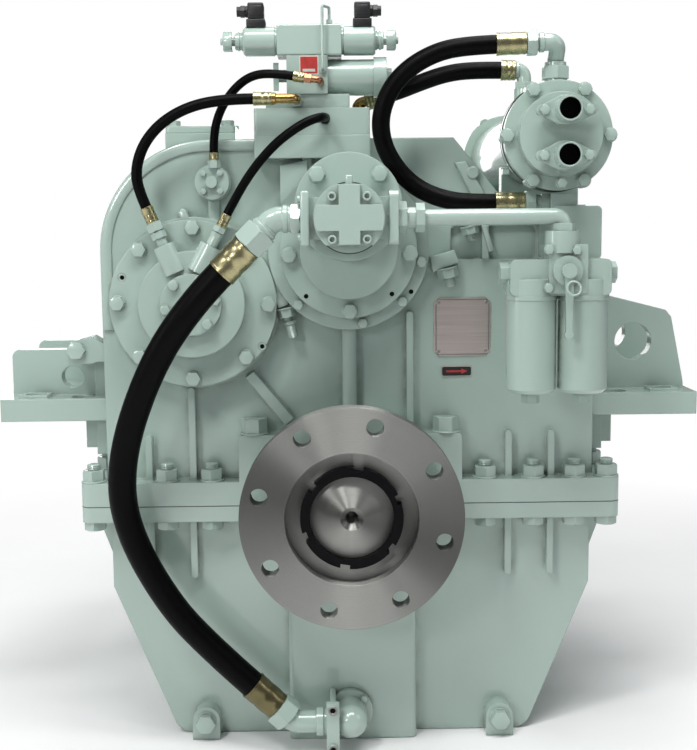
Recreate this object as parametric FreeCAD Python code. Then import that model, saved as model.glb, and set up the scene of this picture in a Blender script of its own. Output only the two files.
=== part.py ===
import FreeCAD, Part
import math
import os

# Marine reduction gearbox with a propeller-side output flange, a clutch shaft beside the
# input shaft, a gear pump, an oil cooler, a duplex filter and a solenoid valve stack.
# Millimetres, +Z up. The origin is the centre of the output flange's front face, and the
# output axis runs back from it along +Y.

Vector = FreeCAD.Vector
ALONG_X = Vector(1, 0, 0)
ALONG_Y = Vector(0, 1, 0)
ALONG_Z = Vector(0, 0, 1)

# Gear train
gear_centres = 378.0
drive_centres = 240.0
output_teeth = 60
pinion_teeth = 24
drive_teeth = 30
pump_drive_teeth = 20
pump_centres = 60.0
pump_rotor_teeth = 12
pump_rotor_centres = 33.0
tooth_backlash = 0.5
drive_addendum = 0.9
rotor_addendum = 0.8
gear_face = 96.0
drive_face = 52.0
pump_drive_face = 16.0

# Places along the output axis, from the flange's front face
joint_front = 95.0
case_front = 130.0
case_rear = 560.0
joint_rear = 606.0
drive_gear_front = 176.0
output_gear_front = 318.0
input_end = 745.0
input_flange_radius = 130.0
input_bolt_circle = 220.0
input_hole_radius = 8.5

# Casing
case_wall = 10.0
drive_gear_gap = 2.0
sump_step = 3.0
end_wall = 24.0
sump_floor = -367.0
sump_knee = -132.0
sump_toe_half_width = 268.0
casing_top = 540.0
bulge_radius = 163.0
shoulder_height = 430.0
shoulder_start = 246.0
top_flat_end = 156.0
joint_bolt_wall_gap = 0.3
joint_bolt_edge = 18.4
joint_upper_thickness = 36.0
joint_lower_thickness = 24.0
joint_corner_radius = 16.0
pod_half_width = 97.0
pod_front = 100.0
bearing_block_half_width = 166.0
bearing_block_height = 106.0
standing_lug_x = 225.0
rear_cover_thickness = 14.0

# Output shaft and coupling
flange_diameter = 320.0
flange_thickness = 30.0
flange_bolt_edge = 24.5
flange_hole_diameter = 25.0
flange_hole_count = 8
flange_hole_start = 14.5
recess_diameter = 191.0
recess_depth = 24.0
coupling_shoulder_gap = 23.5
coupling_hub_radius = 90.0
coupling_length = 108.0
output_shaft_radius = 60.0
output_gear_seat_radius = 68.0
nut_outer_radius = 73.5
nut_thickness = 17.0
nut_slots = 6
shaft_end_inset = 4.0
centre_hole_radius = 16.5
bearing_cover_front = 79.0

# Bearings
output_bearing_outer = 105.0
output_bearing_width = 52.0
clutch_bearing_outer = 74.0
clutch_bearing_width = 34.0
clutch_shaft_radius = 38.0
fit_clearance = 0.05
loose_clearance = 0.4

# Clutch drums
drum_radius = 100.0
drum_length = 66.0
pinion_sleeve_radius = 60.0

# Clutch cover on the reverse axis
cover_radius = 122.0
cover_thickness = 18.0
cover_boss_radius = 126.0
cover_boss_front = 115.0
cover_hub_radius = 77.0
cover_hub_front = 75.0
cap_radius = 44.5
cap_thickness = 10.0
cover_bolt_circle = 220.0
port_boss_radius = 16.0
port_boss_length = 43.0
clutch_port_gap = 59.0
lube_port_gap = 50.0

# Pump drive housing and pump
housing_ring_radius = 117.0
housing_ring_front = 97.0
housing_flange_radius = 98.5
housing_flange_front = 77.0
housing_drum_radius = 69.0
housing_wall = 9.0
pump_flange_radius = 75.0
pump_flange_front = 20.0
pump_flange_thickness = 18.0
pump_body_radius = 47.5
pump_body_front = -48.0
pump_cover_front = -72.0
pump_port_height = 421.0
pump_port_y = -32.0
pump_port_half_span = 61.0
pump_shaft_radius = 10.0
pump_rotor_length = 38.0

# Valve stack on the casing's top
base_left = -134.0
base_right = 33.0
base_front = 100.0
base_rear = 236.0
pedestal_height = 3.0
base_height = 38.0
subplate_thickness = 20.0
lower_valve_height = 54.0
pressure_valve_rise = 26.5
solenoid_valve_height = 44.0
pressure_valve_radius = 26.0
coil_radius = 21.0
coil_rise = 23.0
coil_y = 124.0
coil_length = 49.0
override_radius = 6.4
lever_y = 132.0
lever_rise = 29.0
vent_pipe_rise = 23.0
selector_pin_radius = 4.0

# Lubrication valve under the top cover
lube_valve_x = -197.0
lube_valve_z = 477.0
lube_valve_seat = 117.0
sensing_seat = 508.0

# Oil cooler
cooler_x = 289.0
cooler_rise = 90.0
cooler_shell_radius = 61.0
cooler_cap_radius = 79.0
cooler_front = -10.0
cooler_rear = 566.0
cooler_bolt_radius = 70.5
cooler_stub_offset = 30.0
stub_bore = 14.2
cooler_inlet_x = 291.0
cooler_inlet_y = 56.0
cooler_inlet_rise = 80.0
cooler_outlet_x = 262.0
cooler_outlet_y = 148.2
cooler_outlet_rise = 78.0
saddle_places = (200, 470)
saddle_pad_height = 12.0

# Duplex filter
filter_y = -10.0
bowl_left_x = 249.0
bowl_right_x = 320.0
bowl_radius = 34.3
bowl_top = 315.0
bowl_bottom = 181.0
filter_head_top = 372.0
filter_neck_x = 288.0
filter_neck_top = 402.0
pedestal_top = 436.0
lever_pivot_x = 291.0
lever_pivot_z = 349.0
lever_pin_radius = 6.0
changeover_lever_reach = 91.0

# Mounting brackets
bracket_hole_spacing = 70.0
bracket_top = 157.0
bracket_thickness = 34.0
bracket_front = 145.0
bracket_length = 330.0
bracket_hole_radius = 16.0
bracket_hole_land = 3.0
bracket_hole_edge = 49.0
bracket_web = 24.0
bracket_web_bottom = 66.0
bracket_gussets = (193, 356)
bracket_hole_rows = (169, 439)

# Suction strainer
strainer_x = -4.0
strainer_z = -320.0
strainer_flange_radius = 34.0
strainer_dome_radius = 25.0
strainer_port_y = 56.0
strainer_arm_radius = 19.0
screen_radius = 21.0

# Fasteners
joint_bolt_radius = 10.0
joint_bolt_flats = 30.0
cover_screw_flats = 19.0
small_screw_flats = 13.0

# Free hoses: outer diameters and the points that their routes turn at
suction_hose_diameter = 40.0
suction_hose_route = [
    (-173, -32, 350), (-217, -32, 306), (-278, -8, 217), (-328, 28, 89),
    (-328, 40, -14), (-268, 50, -137), (-198, 56, -216), (-149, 56, -262)]
clutch_hose_diameter = 15.5
clutch_hose_route = [
    (-132, 70, 591), (-168, 70, 591), (-220, 72, 583), (-263, 76, 561),
    (-291, 80, 530), (-303, 82, 494), (-299, 82, 465), (-289, 82, 441)]
sensing_hose_diameter = 12.5
sensing_hose_route = [
    (-75, 80, 623), (-103, 84, 628), (-135, 94, 627), (-161, 102, 610),
    (-183, 106, 580), (-193, 106, 545), (-193, 106, 519)]
lube_hose_diameter = 13.0
lube_hose_route = [
    (-32, 84, 565), (-32, 56, 565), (-58, 38, 556), (-98, 43, 530),
    (-133, 60, 494), (-160, 82, 456), (-174, 82, 430)]
cooler_hose_diameter = 26.0
cooler_hose_route = [
    (206, 40, 658), (170, 41, 657), (128, 46, 651), (89, 54, 632), (61, 60, 604), (46, 65, 566),
    (49, 68, 528), (68, 66, 492), (98, 63, 463), (136, 56, 447), (173, 50, 442), (207, 50, 442)]
return_hose_diameter = 25.0
return_hose_route = [
    (228, 150, 638), (190, 152, 639), (150, 160, 636), (110, 172, 624), (77, 182, 612),
    (47, 186, 604)]

# Worked-out places
spread_angle = 2 * math.asin(drive_centres / 2 / gear_centres)
input_x = 0.0
input_z = gear_centres
clutch_x = -gear_centres * math.sin(spread_angle)
clutch_z = gear_centres * math.cos(spread_angle)
pump_z = input_z + pump_centres
pump_rotor_z = pump_z - pump_rotor_centres
module_output = 2 * gear_centres / (output_teeth + pinion_teeth)
module_drive = drive_centres / drive_teeth
module_pump_drive = pump_centres / pump_drive_teeth
module_rotor = pump_rotor_centres / pump_rotor_teeth
drive_gear_radius = drive_centres / 2 + drive_addendum * module_drive
case_half_width = math.ceil(drive_gear_radius - clutch_x + drive_gear_gap + case_wall)
sump_half_width = case_half_width - sump_step
joint_bolt_x = case_half_width + joint_bolt_flats / math.sqrt(3) + joint_bolt_wall_gap
joint_half_width = joint_bolt_x + joint_bolt_edge
flange_bolt_circle = flange_diameter - 2 * flange_bolt_edge
coupling_shoulder_radius = flange_bolt_circle / 2 - coupling_shoulder_gap
saddle_foot = shoulder_height + saddle_pad_height
cooler_z = saddle_foot + cooler_rise
cooler_inlet = (cooler_inlet_x, cooler_inlet_y, cooler_z + cooler_inlet_rise)
cooler_outlet = (cooler_outlet_x, cooler_outlet_y, cooler_z + cooler_outlet_rise)
base_top = casing_top + pedestal_height + base_height
subplate_top = base_top + subplate_thickness
lower_valve_top = subplate_top + lower_valve_height
solenoid_top = lower_valve_top + solenoid_valve_height
pressure_valve_z = subplate_top + pressure_valve_rise
coil_z = lower_valve_top + coil_rise
lever_z = subplate_top + lever_rise
bracket_web_face = case_half_width + bracket_web
bracket_inner_hole_x = bracket_web_face + bracket_hole_radius + bracket_hole_land
bracket_outer_hole_x = bracket_inner_hole_x + bracket_hole_spacing
bracket_reach = bracket_outer_hole_x + bracket_hole_edge
bulge_x = -case_half_width + bulge_radius
bulge_z = casing_top - bulge_radius
pump_mid_z = (pump_z + pump_rotor_z) / 2
clutch_axes = ((input_x, input_z), (clutch_x, clutch_z))
saddle_radius = output_bearing_outer + 34
saddle_front_end = drive_gear_front - 8
saddle_rear_start = case_rear - end_wall - 46
clutch_boss_radius = clutch_bearing_outer + 22
clutch_boss_front_end = drive_gear_front - 4
clutch_boss_rear_start = case_rear - end_wall - 16
rear_cover_seat = case_rear + 12
drum_rear = drive_gear_front + drive_face + drum_length
pump_gear_rear = case_front - 38


def box(x0, x1, y0, y1, z0, z1):
    """A block between two opposite corners"""
    return Part.makeBox(x1 - x0, y1 - y0, z1 - z0, Vector(x0, y0, z0))


def disc(x, z, radius, y0, y1):
    """A round bar along Y"""
    return Part.makeCylinder(radius, y1 - y0, Vector(x, y0, z), ALONG_Y)


def ring(x, z, outer, inner, y0, y1):
    """A round sleeve along Y"""
    return disc(x, z, outer, y0, y1).cut(disc(x, z, inner, y0 - 1, y1 + 1))


def rod(start, end, radius):
    """A round bar between two points"""
    a = Vector(*start)
    b = Vector(*end)
    return Part.makeCylinder(radius, a.distanceToPoint(b), a, b.sub(a))


def hex_rod(start, end, flats):
    """A hexagonal bar between two points"""
    a = Vector(*start)
    b = Vector(*end)
    along = b.sub(a)
    corner_radius = flats / math.sqrt(3)
    corners = [Vector(corner_radius * math.cos(math.pi / 3 * i), corner_radius * math.sin(math.pi / 3 * i), 0)
               for i in range(6)]
    prism = Part.Face(Part.makePolygon(corners + corners[:1])).extrude(Vector(0, 0, along.Length))
    prism.Placement = FreeCAD.Placement(a, FreeCAD.Rotation(ALONG_Z, along))
    return prism


def outline(start, steps, y0, y1):
    """A plate along Y whose outline in XZ has straight steps (x, z) and arcs (mid x, mid z, x, z)"""
    edges = []
    here = Vector(start[0], y0, start[1])
    for step in steps:
        there = Vector(step[-2], y0, step[-1])
        if len(step) == 2:
            edges.append(Part.LineSegment(here, there).toShape())
        else:
            edges.append(Part.Arc(here, Vector(step[0], y0, step[1]), there).toShape())
        here = there
    return Part.Face(Part.Wire(edges)).extrude(Vector(0, y1 - y0, 0))


def fused(shapes):
    """One solid from overlapping shapes, without the seams between them"""
    return shapes[0].multiFuse(shapes[1:]).removeSplitter()


def rounded(shape, radius, direction):
    """The shape with every straight edge along a direction rounded"""
    edges = []
    for edge in shape.Edges:
        if isinstance(edge.Curve, Part.Line) and abs(edge.tangentAt(edge.FirstParameter).dot(direction)) > 0.999:
            edges.append(edge)
    return shape.makeFillet(radius, edges)


def around(x, z, radius, count, start_degrees=0.0):
    """Points on a circle in XZ, counted clockwise from +Z as seen from the front"""
    turns = [math.radians(start_degrees + 360.0 * i / count) for i in range(count)]
    return [(x + radius * math.sin(turn), z + radius * math.cos(turn)) for turn in turns]


def hex_head(x, z, y_seat, flats, height):
    """A hexagon head whose underside faces back along +Y"""
    return hex_rod((x, y_seat, z), (x, y_seat - height, z), flats)


def save(node, shape):
    """Write one node's STEP file"""
    shape.exportStep("parts/" + node + ".step")


def involute(angle):
    """The involute function of a pressure angle in radians"""
    return math.tan(angle) - angle


def gear(x, z, teeth, module, y0, y1, bore, first_tooth_degrees, addendum=1.0):
    """A spur gear along Y; the first tooth's centre stands at an angle clockwise from +Z"""
    pressure = math.radians(20)
    pitch_radius = module * teeth / 2.0
    base_radius = pitch_radius * math.cos(pressure)
    tip_radius = pitch_radius + addendum * module
    root_radius = pitch_radius - (addendum + 0.25) * module
    half_at_pitch = (math.pi * module / 2.0 - tooth_backlash) / 2.0 / pitch_radius

    def half_angle(radius):
        if radius <= base_radius:
            return half_at_pitch + involute(pressure)
        return half_at_pitch + involute(pressure) - involute(math.acos(base_radius / radius))

    flank = [(root_radius, half_angle(root_radius)), (pitch_radius, half_at_pitch),
             (tip_radius, half_angle(tip_radius))]
    corners = []
    for i in range(teeth):
        centre = math.radians(first_tooth_degrees) + 2 * math.pi * i / teeth
        outline_points = [(radius, -half) for radius, half in flank] + [(radius, half) for radius, half in flank[::-1]]
        for radius, offset in outline_points:
            corners.append(Vector(x + radius * math.sin(centre + offset), y0, z + radius * math.cos(centre + offset)))
    blank = Part.Face(Part.makePolygon(corners + corners[:1])).extrude(Vector(0, y1 - y0, 0))
    return blank.cut(disc(x, z, bore, y0 - 1, y1 + 1))


def meshing_start(teeth, towards_degrees):
    """The first-tooth angle of a gear that shows a tooth gap towards a direction"""
    return towards_degrees + 180.0 / teeth


def hose_solid(route, diameter, name):
    """A tube of straight runs joined by tangent arcs along a free hose's route"""
    points = [Vector(*point) for point in route]
    edges = []
    radii = []
    here = points[0]
    for before, corner, after in zip(points, points[1:], points[2:]):
        to_before = before.sub(corner)
        to_after = after.sub(corner)
        turn = math.pi - to_before.getAngle(to_after)
        setback = 0.45 * min(to_before.Length, to_after.Length)
        radius = setback / math.tan(turn / 2)
        radii.append(radius)
        arc_start = corner.add(to_before.normalize().multiply(setback))
        arc_end = corner.add(to_after.normalize().multiply(setback))
        inward = to_before.add(to_after).normalize()
        sagitta_point = corner.add(inward.multiply(radius / math.cos(turn / 2) - radius))
        edges.append(Part.LineSegment(here, arc_start).toShape())
        edges.append(Part.Arc(arc_start, sagitta_point, arc_end).toShape())
        here = arc_end
    edges.append(Part.LineSegment(here, points[-1]).toShape())
    path = Part.Wire(edges)
    heading = points[1].sub(points[0])
    section = Part.Wire(Part.makeCircle(diameter / 2, points[0], heading))
    tube = path.makePipeShell([section], True, False)
    expected = math.pi * diameter ** 2 / 4 * path.Length
    print("%s: length %.0f mm, bend radii %s, volume over section times length %.4f" % (
        name, path.Length, [round(radius) for radius in radii], tube.Volume / expected))
    return tube


def hose_end(route, last, length):
    """The point a given length beyond a hose's first or last point, in line with its end run"""
    tip = Vector(*route[-1 if last else 0])
    inner = Vector(*route[-2 if last else 1])
    beyond = tip.add(tip.sub(inner).normalize().multiply(length))
    return (beyond.x, beyond.y, beyond.z)


def elbow(points, radius, bend_radius):
    """A round pipe through points, with one bend radius at each corner"""
    vectors = [Vector(*point) for point in points]
    edges = []
    here = vectors[0]
    for before, corner, after in zip(vectors, vectors[1:], vectors[2:]):
        to_before = before.sub(corner)
        to_after = after.sub(corner)
        turn = math.pi - to_before.getAngle(to_after)
        setback = bend_radius * math.tan(turn / 2)
        arc_start = corner.add(to_before.normalize().multiply(setback))
        arc_end = corner.add(to_after.normalize().multiply(setback))
        inward = to_before.add(to_after).normalize()
        middle = corner.add(inward.multiply(bend_radius / math.cos(turn / 2) - bend_radius))
        edges.append(Part.LineSegment(here, arc_start).toShape())
        edges.append(Part.Arc(arc_start, middle, arc_end).toShape())
        here = arc_end
    edges.append(Part.LineSegment(here, vectors[-1]).toShape())
    section = Part.Wire(Part.makeCircle(radius, vectors[0], vectors[1].sub(vectors[0])))
    return Part.Wire(edges).makePipeShell([section], True, False)


def sump_outline(inset, y0, y1, top):
    """The lower casing's tapering cross-section, drawn in by a wall thickness"""
    half = sump_half_width - inset
    toe = sump_toe_half_width - inset * 0.8
    floor = sump_floor + inset
    toe_radius = 26.0
    slope = Vector(half - toe, 0, sump_knee - floor).normalize()
    corners = [(-half, top), (half, top), (half, sump_knee),
               (toe + slope.x * toe_radius, floor + slope.z * toe_radius)]
    steps = list(corners[1:])
    steps.append((toe - 1, floor + 7, toe - toe_radius, floor))
    steps.append((-toe + toe_radius, floor))
    steps.append((-toe + 1, floor + 7, -corners[3][0], corners[3][1]))
    steps.append((-half, sump_knee))
    steps.append((-half, top))
    return outline(corners[0], steps, y0, y1)


def upper_outline(inset, y0, y1, bottom):
    """The upper casing's cross-section: a round bulge over the clutch shaft, a slope and a shoulder"""
    half = case_half_width - inset
    radius = bulge_radius - inset
    left = bulge_x - radius
    top = casing_top - inset
    reach = radius * math.sqrt(0.5)
    steps = [
        (left, bulge_z),
        (bulge_x - reach, bulge_z + reach, bulge_x, top),
        (top_flat_end - inset * 0.4, top),
        (shoulder_start - inset * 0.4, shoulder_height - inset),
        (half, shoulder_height - inset),
        (half, bottom),
        (left, bottom)]
    return outline((left, bottom), steps, y0, y1)


def joint_bolt_places():
    """Where bolts clamp the two casings: (x, y) along the front, the sides and the rear"""
    front_y = case_front - 17
    rear_y = case_rear + 23
    places = [(x, front_y) for x in (-joint_bolt_x, -275, -208, 202, 274, 336, joint_bolt_x)]
    places += [(side * joint_bolt_x, y) for side in (-1, 1) for y in (222, 290, 420)]
    places += [(x, rear_y) for x in (-joint_bolt_x, -250, 250, joint_bolt_x)]
    return places


def joint_frame(z0, z1):
    """The flange around the parting plane, wider than the casing on all sides"""
    plate = box(-joint_half_width, joint_half_width, joint_front, joint_rear, z0, z1)
    return rounded(plate, joint_corner_radius, ALONG_Z)


def joint_bolt_holes():
    """Cutters for the clearance holes of the joint bolts"""
    return [Part.makeCylinder(joint_bolt_radius + loose_clearance, 200, Vector(x, y, -100))
            for x, y in joint_bolt_places()]


def make_lower_casing():
    """Sump half of the casing, with the forward pod, ribs, webs, standing lugs and bearing saddles"""
    solid = [sump_outline(0, case_front, case_rear, -joint_lower_thickness + 1)]
    solid.append(joint_frame(-joint_lower_thickness, 0))
    pod = box(-pod_half_width, pod_half_width, pod_front, case_front + 1, sump_floor, -joint_lower_thickness)
    solid.append(rounded(pod, 9, ALONG_Z))
    saddle = disc(0, 0, saddle_radius, joint_front, joint_rear)
    solid.append(saddle.common(box(-saddle_radius, saddle_radius, 0, joint_rear, -saddle_radius, 0)))
    for x in (-302, -238, 238, 302):
        rib = outline((x - 5, -10), [(x + 5, -10), (x + 5, -112), (x, -117, x - 5, -112), (x - 5, -10)],
                      case_front - 14, case_front + 2)
        solid.append(rib)
    for side in (-1, 1):
        web_face = [(side * (joint_half_width - 7), -joint_lower_thickness + 1), (side * (sump_half_width - 2), -118),
                    (side * (sump_half_width - 2), -joint_lower_thickness + 1)]
        for y in (172, 340, 500):
            solid.append(outline(web_face[0], web_face[1:] + web_face[:1], y, y + 12))
        lug_low = side * standing_lug_x - 21
        lug_high = side * standing_lug_x + 21
        foot = box(lug_low, lug_high, 103, case_front + 1, sump_floor, sump_floor + 30)
        solid.append(foot.fuse(disc(side * standing_lug_x, sump_floor + 30, 21, 103, case_front + 1)))
        solid.append(box(lug_low, lug_high, case_rear - 1, case_rear + 26, sump_floor, sump_floor + 48))
    casing = fused(solid)
    cavity = sump_outline(case_wall, case_front + end_wall, case_rear - end_wall, 40)
    saddle_front = disc(0, 0, saddle_radius, case_front, saddle_front_end)
    saddle_rear = disc(0, 0, saddle_radius, saddle_rear_start, case_rear)
    cavity = cavity.cut(fused([saddle_front, saddle_rear]).common(box(-400, 400, 0, 700, -400, 60)))
    casing = casing.cut(cavity)
    cuts = [disc(0, 0, output_bearing_outer, 0, joint_rear + 10)]
    cuts.append(disc(strainer_x, strainer_z, screen_radius + 1, 90, case_front + end_wall + 10))
    cuts += joint_bolt_holes()
    casing = casing.cut(cuts[0].multiFuse(cuts[1:]))
    save("lower_casing", casing)


def make_upper_casing():
    """Upper half of the casing, with cover bosses, ribs, valve pedestal and bearing caps"""
    solid = [upper_outline(0, case_front, case_rear, joint_upper_thickness - 1)]
    solid.append(joint_frame(0, joint_upper_thickness))
    block = box(-bearing_block_half_width, bearing_block_half_width, joint_front, case_front + 1, 0,
                bearing_block_height)
    solid.append(rounded(block, 7, ALONG_Y))
    saddle = disc(0, 0, saddle_radius, joint_front, joint_rear)
    solid.append(saddle.common(box(-saddle_radius, saddle_radius, 0, joint_rear, 0, saddle_radius)))
    solid.append(disc(input_x, input_z, housing_ring_radius, housing_ring_front, case_front + 1))
    solid.append(disc(clutch_x, clutch_z, cover_boss_radius, cover_boss_front, case_front + 1))
    for x, z in clutch_axes:
        solid.append(disc(x, z, clutch_boss_radius, case_front, clutch_boss_front_end))
        solid.append(disc(x, z, clutch_boss_radius, clutch_boss_rear_start, rear_cover_seat))
    # Ribs on the front wall
    rib_front = case_front - 16
    foot_z = joint_upper_thickness - 2
    for x, top in ((-302, 104), (-236, 176), (238, 106), (302, 106), (90, 286)):
        rib = outline((x - 5, foot_z), [(x - 5, top - 5), (x, top, x + 5, top - 5), (x + 5, foot_z), (x - 5, foot_z)],
                      rib_front, case_front + 1)
        solid.append(rib)
    solid.append(rod((0, rib_front + 2, 120), (0, rib_front + 2, input_z - housing_ring_radius + 4), 11))
    solid.append(outline((-155, 190), [(-97, 118), (-84, 128), (-143, 199), (-155, 190)], rib_front, case_front + 1))
    # Lug beside the clutch cover, with an arch under it
    lug = outline((-419, 243), [(-386, 252), (-352, 232), (-330, 180), (-351, 176), (-362, 212, -386, 211),
                                (-421, 211), (-424, 227, -419, 243)], case_front + 4, case_front + 44)
    solid.append(lug)
    # Pedestals for the valve stack, the top cover and the cooler's saddles
    solid.append(box(base_left, base_right, base_front, base_rear, casing_top - 30, casing_top + pedestal_height))
    solid.append(box(-270, -166, 158, 268, casing_top - 60, casing_top + 12))
    for y in saddle_places:
        solid.append(box(cooler_x - 64, case_half_width, y, y + 40, shoulder_height - 30, saddle_foot))
    # Bosses beside the pump housing and over the clutch bulge
    solid.append(outline((-98, 500), [(-58, 508), (-58, 444), (-98, 444), (-98, 500)], 108, case_front + 1))
    solid.append(disc(lube_valve_x, lube_valve_z, 27, lube_valve_seat, case_front + 1))
    solid.append(rod((lube_valve_x, case_front - 2, 455), (lube_valve_x, case_front - 2, 420), 9))
    casing = fused(solid)
    cavity = upper_outline(case_wall, case_front + end_wall, case_rear - end_wall, -20)
    keep = [disc(0, 0, saddle_radius, case_front, saddle_front_end),
            disc(0, 0, saddle_radius, saddle_rear_start, case_rear)]
    for x, z in clutch_axes:
        keep.append(disc(x, z, clutch_boss_radius, case_front, clutch_boss_front_end))
        keep.append(disc(x, z, clutch_boss_radius, clutch_boss_rear_start, case_rear))
    cavity = cavity.cut(keep[0].multiFuse(keep[1:]))
    casing = casing.cut(cavity)
    cuts = [disc(0, 0, output_bearing_outer, 0, joint_rear + 10)]
    for x, z in clutch_axes:
        cuts.append(disc(x, z, clutch_bearing_outer, 0, clutch_boss_front_end + 1))
        cuts.append(disc(x, z, clutch_bearing_outer, clutch_boss_rear_start - 1, rear_cover_seat + 1))
    # Shallow pocket under the delivery pipe
    cuts.append(rounded(box(152, 278, 100, case_front + 9, 362, 411), 8, ALONG_Y))
    cuts += joint_bolt_holes()
    casing = casing.cut(cuts[0].multiFuse(cuts[1:]))
    casing = casing.fuse(box(198, 208, case_front - 6, case_front + 10, 362, 411)).removeSplitter()
    save("upper_casing", casing)


def make_joint_bolts():
    """Tightened bolts through the casing joint, head below and nut above, and two bearing cap screws"""
    bolts = []
    for x, y in joint_bolt_places():
        bottom = -joint_lower_thickness
        head = hex_rod((x, y, bottom - 13), (x, y, bottom), joint_bolt_flats)
        nut = hex_rod((x, y, joint_upper_thickness), (x, y, joint_upper_thickness + 18), joint_bolt_flats)
        shank = rod((x, y, bottom - 5), (x, y, joint_upper_thickness + 27), joint_bolt_radius)
        bolts.append(fused([head, nut, shank]))
    for x in (-143, 143):
        bolts.append(hex_rod((x, 112, bearing_block_height), (x, 112, bearing_block_height + 24), 34))
    save("joint_bolts", Part.makeCompound(bolts))


def make_brackets():
    """The two mounting brackets that carry the gearbox on the engine seating"""
    rear = bracket_front + bracket_length
    underside = bracket_top - bracket_thickness
    sides = {"mounting_bracket_left": (-1, 228.0, 17.0, (-429, 185)),
             "mounting_bracket_right": (1, 300.0, 28.5, (442, 231))}
    for node, (side, gusset_height, hole_radius, hole) in sides.items():
        reach = side * bracket_reach
        root = side * case_half_width
        low, high = sorted((reach, root))
        plate = box(low, high, bracket_front, rear, underside, bracket_top)
        low, high = sorted((root, root + side * bracket_web))
        solids = [plate, box(low, high, bracket_front + 30, rear, bracket_web_bottom, 240)]
        for y in bracket_gussets:
            steps = [(side * 400, bracket_top - 1), (reach - side * 7, bracket_top - 1),
                     (reach - side * 8, bracket_top + 12)]
            if side > 0:
                steps += [(reach - 28, 268), (reach - 37, 279), (400, 303), (root, 303), (root, bracket_top - 1)]
            else:
                steps += [(reach + 8, 214), (reach + 12, 225, reach + 23, gusset_height), (root, gusset_height),
                          (root, bracket_top - 1)]
            gusset = outline((root, bracket_top - 1), steps, y, y + 22)
            solids.append(gusset.cut(disc(hole[0], hole[1], hole_radius, y - 1, y + 23)))
            low, high = sorted((root, side * 420))
            solids.append(box(low, high, y + 42, y + 64, bracket_web_bottom, underside + 1))
        for y in bracket_hole_rows:
            outer_hole_x = side * bracket_outer_hole_x
            pad_low = outer_hole_x - 21
            pad_high = outer_hole_x + 21
            solids.append(box(pad_low, pad_high, y - 18, y + 18, bracket_top - 1, bracket_top + 5))
        bracket = fused(solids)
        holes = []
        for y in bracket_hole_rows:
            for x in (side * bracket_inner_hole_x, side * bracket_outer_hole_x):
                holes.append(Part.makeCylinder(bracket_hole_radius, 100, Vector(x, y, underside - 30)))
        save(node, bracket.cut(holes[0].multiFuse(holes[1:])))


def make_output_group():
    """Output shaft with its coupling flange, slotted nut, gear, bearing cover and seal"""
    shaft_front = shaft_end_inset
    cone = Part.makeCone(centre_hole_radius, output_shaft_radius, 15, Vector(0, shaft_front, 0), ALONG_Y)
    gear_seat_rear = output_gear_front + gear_face + 30
    shaft = fused([cone, disc(0, 0, output_shaft_radius, shaft_front + 15, coupling_length + 77),
                   disc(0, 0, output_gear_seat_radius, coupling_length + 76, gear_seat_rear),
                   disc(0, 0, output_shaft_radius, gear_seat_rear - 1, case_rear - 4)])
    shaft = shaft.cut(disc(0, 0, 9, 0, 60))
    shaft = shaft.cut(Part.makeCone(centre_hole_radius, 9, 10, Vector(0, shaft_front, 0), ALONG_Y))
    save("output_shaft", shaft)

    coupling = fused([disc(0, 0, flange_diameter / 2, 0, flange_thickness),
                      disc(0, 0, coupling_shoulder_radius, flange_thickness - 1, 62),
                      disc(0, 0, coupling_hub_radius, 61, coupling_length)])
    coupling = coupling.cut(disc(0, 0, recess_diameter / 2, -1, recess_depth))
    coupling = coupling.cut(disc(0, 0, output_shaft_radius, 0, coupling_length + 1))
    holes = [disc(x, z, flange_hole_diameter / 2, -1, flange_thickness + 1)
             for x, z in around(0, 0, flange_bolt_circle / 2, flange_hole_count, flange_hole_start)]
    save("output_coupling", coupling.cut(holes[0].multiFuse(holes[1:])))

    nut_front = recess_depth - nut_thickness
    nut = ring(0, 0, nut_outer_radius, output_shaft_radius, nut_front, recess_depth)
    slots = []
    for i in range(nut_slots):
        slot = box(-7, 7, nut_front - 1, recess_depth + 1, nut_outer_radius - 6, nut_outer_radius + 5)
        slot.rotate(Vector(0, 0, 0), ALONG_Y, 8.3 + 360.0 / nut_slots * i)
        slots.append(slot)
    save("output_nut", nut.cut(slots[0].multiFuse(slots[1:])))

    wheel = gear(0, 0, output_teeth, module_output, output_gear_front, output_gear_front + gear_face,
                 output_gear_seat_radius, 0.0)
    web_outer = module_output * output_teeth / 2 - 42
    web_depth = gear_face * 0.27
    for y0, y1 in ((output_gear_front - 1, output_gear_front + web_depth),
                   (output_gear_front + gear_face - web_depth, output_gear_front + gear_face + 1)):
        wheel = wheel.cut(ring(0, 0, web_outer, output_gear_seat_radius + 36, y0, y1))
    save("output_gear", wheel)

    bore = coupling_hub_radius + 10
    cover = ring(0, 0, output_bearing_outer + 33, bore, bearing_cover_front, joint_front)
    spigot = ring(0, 0, output_bearing_outer - loose_clearance, bore, joint_front - 1, coupling_length + 4)
    seal = ring(0, 0, bore, coupling_hub_radius + fit_clearance, bearing_cover_front + 4, joint_front)
    save("output_bearing_cover", Part.makeCompound([fused([cover, spigot]), seal]))


def tooth_towards(from_x, from_z, to_x, to_z):
    """Clockwise angle from +Z of the line between two shaft centres"""
    return math.degrees(math.atan2(to_x - from_x, to_z - from_z))


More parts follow.
